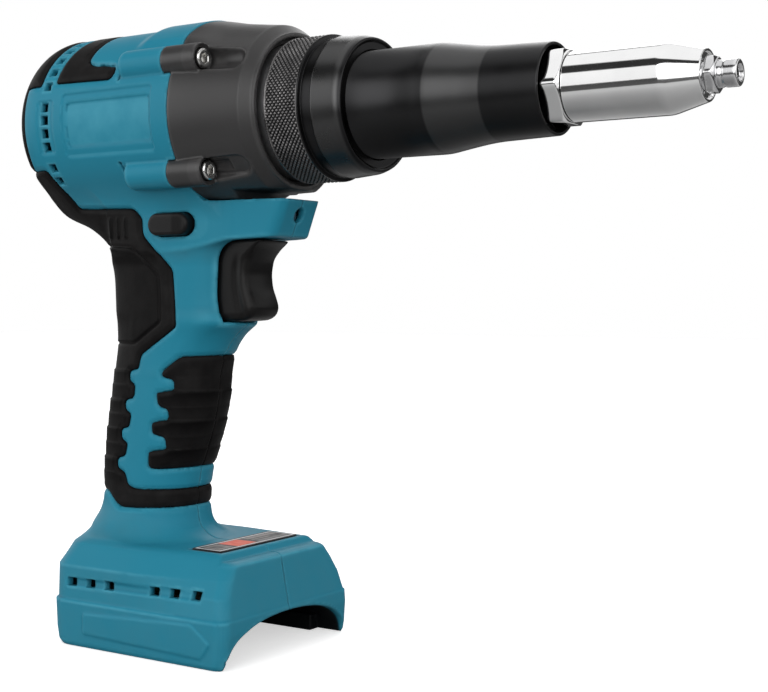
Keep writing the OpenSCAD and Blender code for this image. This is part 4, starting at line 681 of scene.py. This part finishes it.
def metal(name, base, light, rough, spread, bump, rub_sheen, metallic=1.0):
    """Metal finish: turned lines in the bump, roughness and tone that drift, edges rubbed to a lighter tone that is
    partly a painted highlight.
    """
    finish, tree, shader = new_finish(name, base, rough, metallic)
    g = put(tree, "ShaderNodeGroup", node_tree=lathe, in_Fine=9000.0, in_Mottle=90.0)
    w = put(tree, "ShaderNodeGroup", node_tree=wear_and_painted_light, in_Rub=rub_sheen, in_Dust=0.0)
    tone = blend(tree, g.outputs["Tone"], [0.9 * c for c in base], [min(1.1 * c, 1.0) for c in base])
    # edges get a lighter tone for wear and painted highlight
    colour(shader, blend(tree, w.outputs["Rub"], tone, light))
    gloss(tree, shader, g.outputs["Tone"], 0.25, rough - spread, rough + spread)
    bend = put(tree, "ShaderNodeBump", in_Strength=bump, in_Distance=0.00005, in_Height=g.outputs["Height"])
    tree.links.new(bend.outputs[0], shader.inputs["Normal"])
    return finish, tree, shader


# polished band: a ring of the piece between two places along the tool's axis
band, bi, bo = new_group("polished_band", {"Start": 0.0, "End": 0.01}, ["Mask"])
spot = put(band, "ShaderNodeTexCoord")
place = put(band, "ShaderNodeSeparateXYZ", in_0=spot.outputs["Object"])
ends = []
for key, soft in (("Start", 0.0004), ("End", -0.0004)):
    gap = reckon(band, "SUBTRACT", place.outputs[0], bi.outputs[key])
    ends.append(stretch(band, gap, -soft, soft))
band.links.new(reckon(band, "MULTIPLY", *ends), bo.inputs["Mask"])


def polish(tree, shader, start, end, tone):
    """Lays a lighter polished band over a metal finish, from start to end along the axis in tool millimetres."""
    mask = put(tree, "ShaderNodeGroup", node_tree=band, in_Start=(start - MIDDLE_X) / 1000,
               in_End=(end - MIDDLE_X) / 1000)
    colour(shader, blend(tree, mask.outputs["Mask"], laid(shader), (tone, tone, 1.01 * tone)))


zinc = metal("screw_plating", (0.55, 0.54, 0.52), (0.85, 0.85, 0.84), 0.24, 0.06, 0.05, 0.8)[0]
screws = moulded("case_screws_set", case_screws_field, (-14, -33, 167), (20, 33, 219), 0.32)
fit(screws, zinc, "body", "case_screws")

# Lock ring
# Turned steel ring, blackened: a diamond-knurled band, a groove and a polished front that holds the nose sleeve.
def eased(points):
    """Closed profile (place along the axis, radius, corner) with eased corners; gives the points and their outward
    slopes, which run on evenly from each straight into its rounded corners."""
    p = np.array([q[:2] for q in points], float)
    corner = np.array([q[2] for q in points], float)[:, None]
    rows, run = ease_corners(p, corner, 0.49)
    slope = np.stack([run[:, :, 1], -run[:, :, 0]], -1)
    keep = np.ones(rows.shape[:2], bool)
    keep[corner[:, 0] == 0, 1:] = False
    slope[corner[:, 0] == 0, 0] = slope[corner[:, 0] == 0, 2]
    rows, slope = rows[keep], slope[keep]
    return rows, slope / np.linalg.norm(slope, axis=1, keepdims=True)


def turned(points, around, relief=None):
    """Surface of revolution of a closed profile about the tool's axis; a relief adds to the radius by place along the
    axis and angle. Gives vertices, faces and normals."""
    rows, slope = eased(points)
    x, r = rows[:, :1], rows[:, 1:]
    turn = np.linspace(0, 2 * np.pi, around, endpoint=False)[None]
    normal = np.stack([slope[:, :1] + 0 * turn, slope[:, 1:] + 0 * turn, 0 * x + 0 * turn], -1)
    if relief:
        step, twist = 0.05, 0.002
        normal[..., 0] -= (relief(x + step, turn, r) - relief(x - step, turn, r)) / (2 * step)
        normal[..., 2] -= (relief(x, turn + twist, r) - relief(x, turn - twist, r)) / (2 * twist * r)
        normal /= np.linalg.norm(normal, axis=2, keepdims=True)
        r = r + relief(x, turn, r)
    r = r + 0 * turn
    v = np.stack([x + 0 * turn, r * np.cos(turn), AXIS_H + r * np.sin(turn)], -1)
    n = np.stack([normal[..., 0], normal[..., 1] * np.cos(turn) - normal[..., 2] * np.sin(turn),
                  normal[..., 1] * np.sin(turn) + normal[..., 2] * np.cos(turn)], -1)
    cells = np.arange(len(rows) * around).reshape(len(rows), around)
    ahead, beside = np.roll(cells, -1, 0), np.roll(cells, -1, 1)
    faces = np.stack([cells, ahead, np.roll(ahead, -1, 1), beside], -1).reshape(-1, 4)
    return v.reshape(-1, 3), faces, n.reshape(-1, 3)


KNURL_FROM, KNURL_TO, KNURL_R = 43.0, 56.0, 25.7


def knurl(x, turn, r):
    """Diamond knurl: two crossing sets of grooves round the band leave blunt pyramids."""
    teeth, pitch = 84, 1.65
    u, v = teeth * turn / (2 * np.pi) + x / pitch, teeth * turn / (2 * np.pi) - x / pitch
    peak = 1 - np.maximum(np.abs(2 * (u % 1) - 1), np.abs(2 * (v % 1) - 1))
    band = ramp(x, KNURL_FROM, KNURL_FROM + 0.5) * (1 - ramp(x, KNURL_TO - 0.5, KNURL_TO)) * (r > 25)
    return 0.5 * (np.minimum(1.7 * peak, 1) - 1) * band


ring_knurl = [(x, KNURL_R, 0) for x in np.linspace(KNURL_TO, KNURL_FROM, 70)]
ring_points = ([(40.4, 22.3, 0), (65.6, 22.3, 0), (65.6, 21.4, 0), (70.6, 21.4, 0), (70.6, 18.9, 0.2),
                (72.0, 18.9, 0.2), (72.0, 21.6, 0.3), (72.6, 22.0, 0.4), (72.6, 23.0, 0.5), (70.0, 23.9, 0.8),
                (61.3, 24.7, 0.5), (60.9, 24.2, 0.2), (57.0, 24.2, 0.2), (56.6, KNURL_R, 0.35)] + ring_knurl
               + [(42.4, KNURL_R, 0.35), (42.2, 23.9, 0.2), (40.4, 23.9, 0)])
v, faces, n = turned(ring_points, 672, knurl)
# knurl tips are marked as rubbed edges: a lighter tone for wear that is partly a painted glint
rubbed_glint = np.clip((np.hypot(v[:, 1], v[:, 2] - AXIS_H) - KNURL_R) / 0.25 + 1, 0, 1) * (v[:, 0] < 56.3)
ring = lay_mesh("lock_ring_knurled", v, faces, n, {"edge": rubbed_glint})
blackened, tree, shader = metal("blackened_ring", (0.026, 0.026, 0.027), (0.30, 0.29, 0.29), 0.30, 0.05, 0.06, 1.0)
polish(tree, shader, 61.2, 71.4, 0.075)
fit(ring, blackened, "body", "lock_ring")

# Nose sleeve
# Long turned sleeve in blackened steel, clamped by its flange in the lock ring; a waist in the middle, a polished
# band before it and a thin mouth round the nut.
sleeve_points = [(66.3, 17.2, 0), (93, 17.2, 0.3), (94, 14.6, 0.3), (112, 14.6, 0), (115, 9.75, 0.2),
                 (136.8, 9.75, 0.2), (136.8, 13.7, 0.2), (141.1, 13.9, 0.2), (141.1, 14.9, 0.45), (121.0, 15.55, 1.2),
                 (116.0, 15.95, 3.0), (108.5, 17.1, 3.0), (100.4, 18.5, 2.2), (70.5, 18.5, 0),
                 (70.5, 20.9, 0.3), (66.3, 20.9, 0.3)]
v, faces, n = turned(sleeve_points, 256)
sleeve = lay_mesh("nose_sleeve_turned", v, faces, n)
sleeve_black, tree, shader = metal("blackened_sleeve", (0.031, 0.031, 0.032), (0.10, 0.10, 0.10), 0.34, 0.04, 0.05, 0.6)
polish(tree, shader, 101.0, 120.6, 0.078)
fit(sleeve, sleeve_black, "body", "nose_sleeve")

# Lock nut
# Plated hexagon nut, both faces chamfered, that locks the nose barrel in the sleeve.
def hexagon(y, z, flat):
    """Distance to a hexagon about the tool's axis, corners to the sides."""
    u, v = np.abs(y), np.abs(z - AXIS_H)
    return np.maximum(v, u * 0.866 + v * 0.5) - flat


def nut_field(x, y, z):
    """Hexagon bar cut by a cone at each face and bored."""
    r, off = np.hypot(y, z - AXIS_H), np.abs(x - 142.1)
    bar = soft_max(hexagon(y, z, 11.6), off - 5.0, 0.3)
    cones = (r - 12.3 + np.maximum(off - 4.2, 0) * 1.7 - 0.75) * 0.5
    return soft_max(soft_max(bar, cones, 0.3), 9.8 - r, 0.3)


chrome = metal("bright_plating", (0.90, 0.90, 0.90), (0.95, 0.95, 0.95), 0.08, 0.02, 0.02, 0.4)[0]
nut = moulded("nose_nut_hex", nut_field, (136, -15, 180), (148.2, 15, 210), 0.4)
fit(nut, chrome, "body", "nose_nut")

# Nose barrel
# Bright plated tube screwed into the sleeve, coned in front, that holds the nosepiece and the jaws.
barrel_points = [(118, 7.8, 0), (183.0, 7.8, 0), (186.4, 4.75, 0), (190.0, 4.75, 0.1), (190.2, 6.9, 0.2),
                 (191.1, 7.2, 0.2), (191.1, 8.0, 0.3), (179.8, 11.2, 1.6), (147.4, 11.2, 0.3), (147.1, 9.7, 0),
                 (118, 9.7, 0.2)]
v, faces, n = turned(barrel_points, 320)
nose = lay_mesh("nose_barrel_plated", v, faces, n)
fit(nose, chrome, "body", "nose_barrel")

# Nosepiece
# Hardened and plated tip, screwed into the nose barrel by its small hexagon; the rivet's pin goes into its bore.
def nosepiece_field(x, y, z):
    """Hexagon collar, round tip with an eased rim, shank behind and a bore that opens out at the front."""
    r = np.hypot(y, z - AXIS_H)
    collar = soft_max(soft_max(hexagon(y, z, 5.45), (r - 6.0 + np.maximum(x - 193.6, 0) * 1.2) * 0.7, 0.3),
                      np.maximum(191.2 - x, x - 194.6), 0.3)
    tip = soft_max(soft_max(r - 4.2 + 0.25 * np.exp(-((x - 196.2) / 0.5) ** 2), x - 200.9, 0.9), 192 - x, 0.1)
    shank = within(r - 4.6, x - 193, 184 - x)
    bore = r - 2.0 - 0.6 * ramp(x, 199.6, 200.9)
    return soft_max(np.minimum(np.minimum(collar, tip), shank), -bore, 0.3)


tip = moulded("nosepiece_tip", nosepiece_field, (182.5, -8, 187), (202.4, 8, 203), 0.26)
tip_plating = metal("tip_plating", (0.62, 0.62, 0.63), (0.88, 0.88, 0.88), 0.16, 0.05, 0.03, 0.7)[0]
fit(tip, tip_plating, "body", "nosepiece")

# Trigger
# Black moulded trigger in its pocket under the shelf, hollowed for one finger, with a plunger into the switch.
trigger_side = outline([(2, 120.4), (14, 119.9), (19.8, 120.3), (22.9, 122.0), (24.0, 125.0), (22.9, 128.4),
                        (21.2, 132.4), (20.7, 137.4), (21.7, 142.4), (24.3, 146.4), (28.2, 149.5), (2, 149.0)], 1.8)


def trigger_field(x, y, z):
    """Side outline across the width with eased sides, a shallow scallop down each side, and the root behind."""
    a = np.abs(y)
    front = 0.95 * trigger_side(x - 0.6 + 0.012 * a * a, z)
    scallop = 0.5 * np.exp(-((x - 16.6 - 0.012 * (z - 137) ** 2) / 1.5) ** 2) * (1 - ramp(z, 138, 146)) * ramp(a, 6, 9)
    blade = soft_max(front, a - 9 + scallop, 3.2 - 2.4 * ramp(z, 142, 148))
    root = within(a - 7.2, np.abs(z - 135.8) - 10, 2.2 - x, x - 12)
    plunger = within(np.hypot(a, z - 140.5) - 2.4, -12 - x, x - 4)
    return np.minimum(np.minimum(blade, root), plunger)


trigger_black = plastic("trigger_moulding", (0.0035, 0.0033, 0.0034), (0.016, 0.015, 0.015), (0.002, 0.002, 0.002),
                        0.32, 2200.0, 0.10, 0.6, 0.4, 0.16)[0]
trigger = moulded("trigger_blade", trigger_field, (-14, -11, 117), (28, 11, 151.5), 0.45)
fit(trigger, trigger_black, "trigger", "trigger")

# Direction button
# Black bar through both shells above the trigger, pushed from side to side; its ends are stepped.
def button_field(x, y, z):
    """Bar with round ends in side view; the end faces are eased and step down towards the front."""
    bar = np.hypot(np.maximum(np.abs(x - BUTTON_X) - 5.0, 0), z - BUTTON_Z) - 4.1
    return soft_max(bar, np.abs(y + 2.5) - 19.2 + 0.9 * ramp(x, -3.5, 1.5), 1.4)


button = moulded("direction_bar", button_field, (-17, -24, 149), (5, 19, 161.5), 0.45)
fit(button, trigger_black, "direction_button", "direction_button")

# Work light
# Clear domed lens in the leaning front of the shelf, with the light behind it.
def lens_field(x, y, z):
    """Round plug with a domed front, square to the leaning face."""
    r = np.hypot(y, z - LENS_Z)
    dome = np.sqrt((x - 32.4) ** 2 + r * r) - 3.9
    return soft_max(np.maximum(r - 2.55, 28.5 - x), dome, 0.2)


lens_clear, tree, shader = new_finish("lens_plastic", (0.10, 0.12, 0.14), 0.08)
haze = noise(tree, 900.0, 3.0)
gloss(tree, shader, haze, 0.3, 0.05, 0.14)
colour(shader, blend(tree, haze, (0.030, 0.040, 0.055), (0.090, 0.105, 0.125)))
shader.inputs["Coat Weight"].default_value = 1.0
shader.inputs["Coat Roughness"].default_value = 0.03
lens = moulded("light_lens_dome", lens_field, (27.5, -4, 154.2), (37.5, 4, 162.2), 0.25)
fit(lens, lens_clear, "body", "light_lens")

# Foot label
# Printed film on a thin plate in the top of the foot: a black border, a grey field and one warm red block, no words.
def label_plate():
    """Thin plate with round corners: rings widen over the top, go round the side and draw in below; one point closes
    the top and one the bottom."""
    around = 96
    turn = np.linspace(0, 2 * np.pi, around, endpoint=False)
    c, s = np.cos(turn), np.sin(turn)
    share = np.array([0.5, 0.9, 0.985, 1.0, 1.0, 0.9])[:, None]
    height = np.array([38.42, 38.42, 38.40, 38.25, 37.45, 37.45])[:, None]
    square = 1 / (np.abs(c) ** 14 + np.abs(s) ** 14) ** (1 / 14)
    x, y = LABEL_X + LABEL_DEEP * share * square * c, LABEL_WIDE * share * square * s
    rings = np.stack([x, y, height + 0 * x], -1).reshape(-1, 3)
    cells = np.arange(len(rings)).reshape(-1, around)
    beside = np.roll(cells, -1, 1)
    sides = np.stack([cells[:-1], cells[1:], beside[1:], beside[:-1]], -1).reshape(-1, 4)
    top, bottom = np.full(around, len(rings)), np.full(around, len(rings) + 1)
    caps = np.concatenate([np.stack([cells[0], beside[0], top], -1), np.stack([beside[-1], cells[-1], bottom], -1)])
    return np.concatenate([rings, [[LABEL_X, 0, height[0, 0]], [LABEL_X, 0, height[-1, 0]]]]), [sides, caps]


label = lay_mesh("foot_label_film", *label_plate())
print_film, tree, shader = new_finish("printed_film", (0.3, 0.3, 0.3), 0.35)
spot = put(tree, "ShaderNodeTexCoord")
place = put(tree, "ShaderNodeSeparateXYZ", in_0=spot.outputs["Object"])


def print_box(tree, place, x0, x1, y0, y1):
    """Mask that is one inside a rectangle of the foot's top, by place in tool millimetres."""
    masks, soft = [], 0.00008
    for out, low, high in ((0, x0 - MIDDLE_X, x1 - MIDDLE_X), (1, y0, y1)):
        centre, half = (low + high) / 2000, (high - low) / 2000
        off = reckon(tree, "ABSOLUTE", reckon(tree, "SUBTRACT", place.outputs[out], centre))
        masks.append(stretch(tree, off, half + soft, half - soft))
    return reckon(tree, "MULTIPLY", *masks)


smudge = noise(tree, 420.0, 4.0)
ink = blend(tree, smudge, (0.006, 0.006, 0.007), (0.014, 0.014, 0.015))
for box, tint in (((7.8, 19.6, -22.0, 22.0), (0.85, 0.83, 0.84)), ((8.5, 18.9, -21.3, 21.3), (0.03, 0.028, 0.03)),
                  ((9.2, 12.2, 3.0, 20.0), (0.22, 0.20, 0.19)), ((13.2, 14.6, 3.0, 14.0), (0.20, 0.18, 0.17)),
                  ((15.6, 18.2, 3.0, 20.0), (0.16, 0.15, 0.15)), ((9.0, 18.4, -10.5, 0.5), (0.75, 0.10, 0.048)),
                  ((9.6, 17.8, -20.4, -12.2), (0.20, 0.18, 0.17)), ((11.6, 15.8, -18.6, -14.0), (0.07, 0.065, 0.065))):
    ink = blend(tree, print_box(tree, place, *box), ink, tint)
colour(shader, ink)
shader.inputs["Specular IOR Level"].default_value = 0.2
gloss(tree, shader, smudge, 0.3, 0.38, 0.52)
fit(label, print_film, "body", "foot_label")

# Pieces inside
# Motor, gears, draw mechanism, switch and electronics keep their solids; each gets the finish of what it is made of.
inner_finish = {
    "teal_plastic": teal, "soft_rubber": rubber, "plated_steel": zinc, "clear_lens": lens_clear,
    "label_film": print_film,
    "black_plastic": plastic("inner_plastic", (0.016, 0.016, 0.017), (0.05, 0.05, 0.05), (0.006, 0.006, 0.006), 0.45,
                             1800.0, 0.12, 0.3, 0.3)[0],
    "circuit_board": plastic("board_resist", (0.012, 0.085, 0.038), (0.05, 0.18, 0.09), (0.006, 0.04, 0.02), 0.36,
                             900.0, 0.10, 0.2, 0.2)[0],
    "plain_steel": metal("ground_steel", (0.42, 0.42, 0.43), (0.6, 0.6, 0.6), 0.28, 0.06, 0.08, 0.3)[0],
    "hard_steel": metal("hardened_steel", (0.20, 0.20, 0.21), (0.4, 0.4, 0.4), 0.32, 0.06, 0.08, 0.3)[0],
    "black_steel": metal("inner_black_steel", (0.03, 0.03, 0.032), (0.12, 0.12, 0.12), 0.34, 0.06, 0.06, 0.3)[0],
    "bronze": metal("sintered_bronze", (0.36, 0.22, 0.10), (0.5, 0.33, 0.16), 0.38, 0.08, 0.10, 0.3)[0],
    "copper": metal("wound_copper", (0.55, 0.22, 0.10), (0.7, 0.33, 0.17), 0.30, 0.08, 0.20, 0.3)[0],
    "die_cast": metal("bare_casting", (0.34, 0.34, 0.35), (0.5, 0.5, 0.5), 0.46, 0.08, 0.20, 0.3)[0],
    "contact_metal": metal("contact_plating", (0.62, 0.52, 0.34), (0.75, 0.68, 0.5), 0.26, 0.06, 0.04, 0.3)[0]}
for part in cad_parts.values():
    for held in part.material_slots:
        held.material = inner_finish[held.material.name]

# Floor, light and camera
# A pale studio floor under a bright even surround. A dark strip overhead, a dark ring on the floor and a dark cloth
# behind, all seen only in reflections, draw the lines on polished metal. The camera stands ahead and to the right.
from mathutils import Vector

span = np.linspace(-4, 4, 9)
gx, gy = np.meshgrid(span, span, indexing="ij")
cells = np.arange(81).reshape(9, 9)
floor = lay_mesh("studio_floor", np.stack([gx * 1000 + MIDDLE_X, gy * 1000, gx * 0 - 0.2], -1).reshape(-1, 3),
                 np.stack([cells[:-1, :-1], cells[1:, :-1], cells[1:, 1:], cells[:-1, 1:]], -1).reshape(-1, 4))
pale, tree, shader = new_finish("studio_paper", (0.9, 0.9, 0.9), 0.9)
spot = put(tree, "ShaderNodeTexCoord")
shade = blend(tree, noise(tree, 3.0, 2.0), (0.88, 0.88, 0.88), (0.92, 0.92, 0.92))
sight = put(tree, "ShaderNodeLightPath").outputs["Is Camera Ray"]
away = put(tree, "ShaderNodeVectorMath", operation="LENGTH", in_0=spot.outputs["Object"])
bounce = put(tree, "ShaderNodeValToRGB", in_0=reckon(tree, "MULTIPLY", away.outputs["Value"], 0.25))


def grey_stops(ramp_node, stops):
    """Sets a colour ramp to greys by place and tone; the first and the last stop are the ramp's own ends."""
    steps = ramp_node.color_ramp.elements
    for at, tone in stops:
        stop = steps.new(at) if 0 < at < 1 else steps[0 if at == 0 else -1]
        stop.color = (tone, tone, tone, 1)


grey_stops(bounce, ((0.0, 0.22), (0.03, 0.3), (0.09, 0.5), (0.125, 0.5), (0.14, 0.03), (1.0, 0.03)))
colour(shader, blend(tree, sight, bounce.outputs[0], shade))
tree.links.new(reckon(tree, "MULTIPLY", sight, 0.55), shader.inputs["Emission Strength"])
shader.inputs["Emission Color"].default_value = (1, 1, 1, 1)
floor.data.materials.append(pale)

world = bpy.data.worlds.new("studio")
bpy.context.scene.world = world
bpy.context.scene.view_settings.view_transform = "Standard"
world.use_nodes = True
wt = world.node_tree
back = wt.nodes["Background"]
way = put(wt, "ShaderNodeTexCoord")
part = put(wt, "ShaderNodeSeparateXYZ", in_0=way.outputs["Generated"])
strips = put(wt, "ShaderNodeValToRGB", in_0=stretch(wt, part.outputs[2], -1.0, 1.0))
grey_stops(strips, ((0.0, 0.5), (0.47, 0.5), (0.48, 0.95), (0.775, 1.0), (0.785, 0.03), (0.905, 0.03), (0.915, 1.0),
                    (1.0, 1.0)))
behind = stretch(wt, part.outputs[1], 0.80, 0.86)
level = reckon(wt, "ABSOLUTE", reckon(wt, "SUBTRACT", part.outputs[2], 0.14))
cloth = reckon(wt, "MULTIPLY", behind, stretch(wt, level, 0.30, 0.26))
hung = blend(wt, cloth, strips.outputs[0], (0.05, 0.05, 0.05))
seen = blend(wt, put(wt, "ShaderNodeLightPath").outputs["Is Camera Ray"], hung, (1, 1, 1))
wt.links.new(seen.outputs[2], back.inputs["Color"])
back.inputs["Strength"].default_value = 1.0


def lamp(name, place, target, size, power):
    """Soft square light at a place, facing a target."""
    data = bpy.data.lights.new(name, "AREA")
    data.energy, data.size = power, size
    light = bpy.data.objects.new(name, data)
    bpy.context.scene.collection.objects.link(light)
    light.location = place
    light.rotation_euler = (Vector(target) - Vector(place)).to_track_quat("-Z", "Y").to_euler()


lamp("key_light", (0.3, -0.9, 0.45), (0, 0, 0.13), 0.9, 4.0)
lamp("front_light", (0.95, -0.25, 0.7), (0.05, 0, 0.15), 0.7, 1.6)
lamp("left_light", (-0.3, 0.9, 0.9), (0, 0, 0.13), 0.8, 3.0)
lamp("fill_light", (-0.8, -0.6, 0.35), (0, 0, 0.13), 0.8, 1.6)

camera_data = bpy.data.cameras.new("photo_camera")
camera = bpy.data.objects.new("photo_camera", camera_data)
bpy.context.scene.collection.objects.link(camera)
camera_data.sensor_width = 36
camera_data.lens = 66.34
camera_data.clip_start = 0.01
camera.location = (0.28095, -0.4091, 0.1276)
camera.rotation_euler = (math.radians(90 - 1.84), 0, math.radians(33.27))
bpy.context.scene.camera = camera
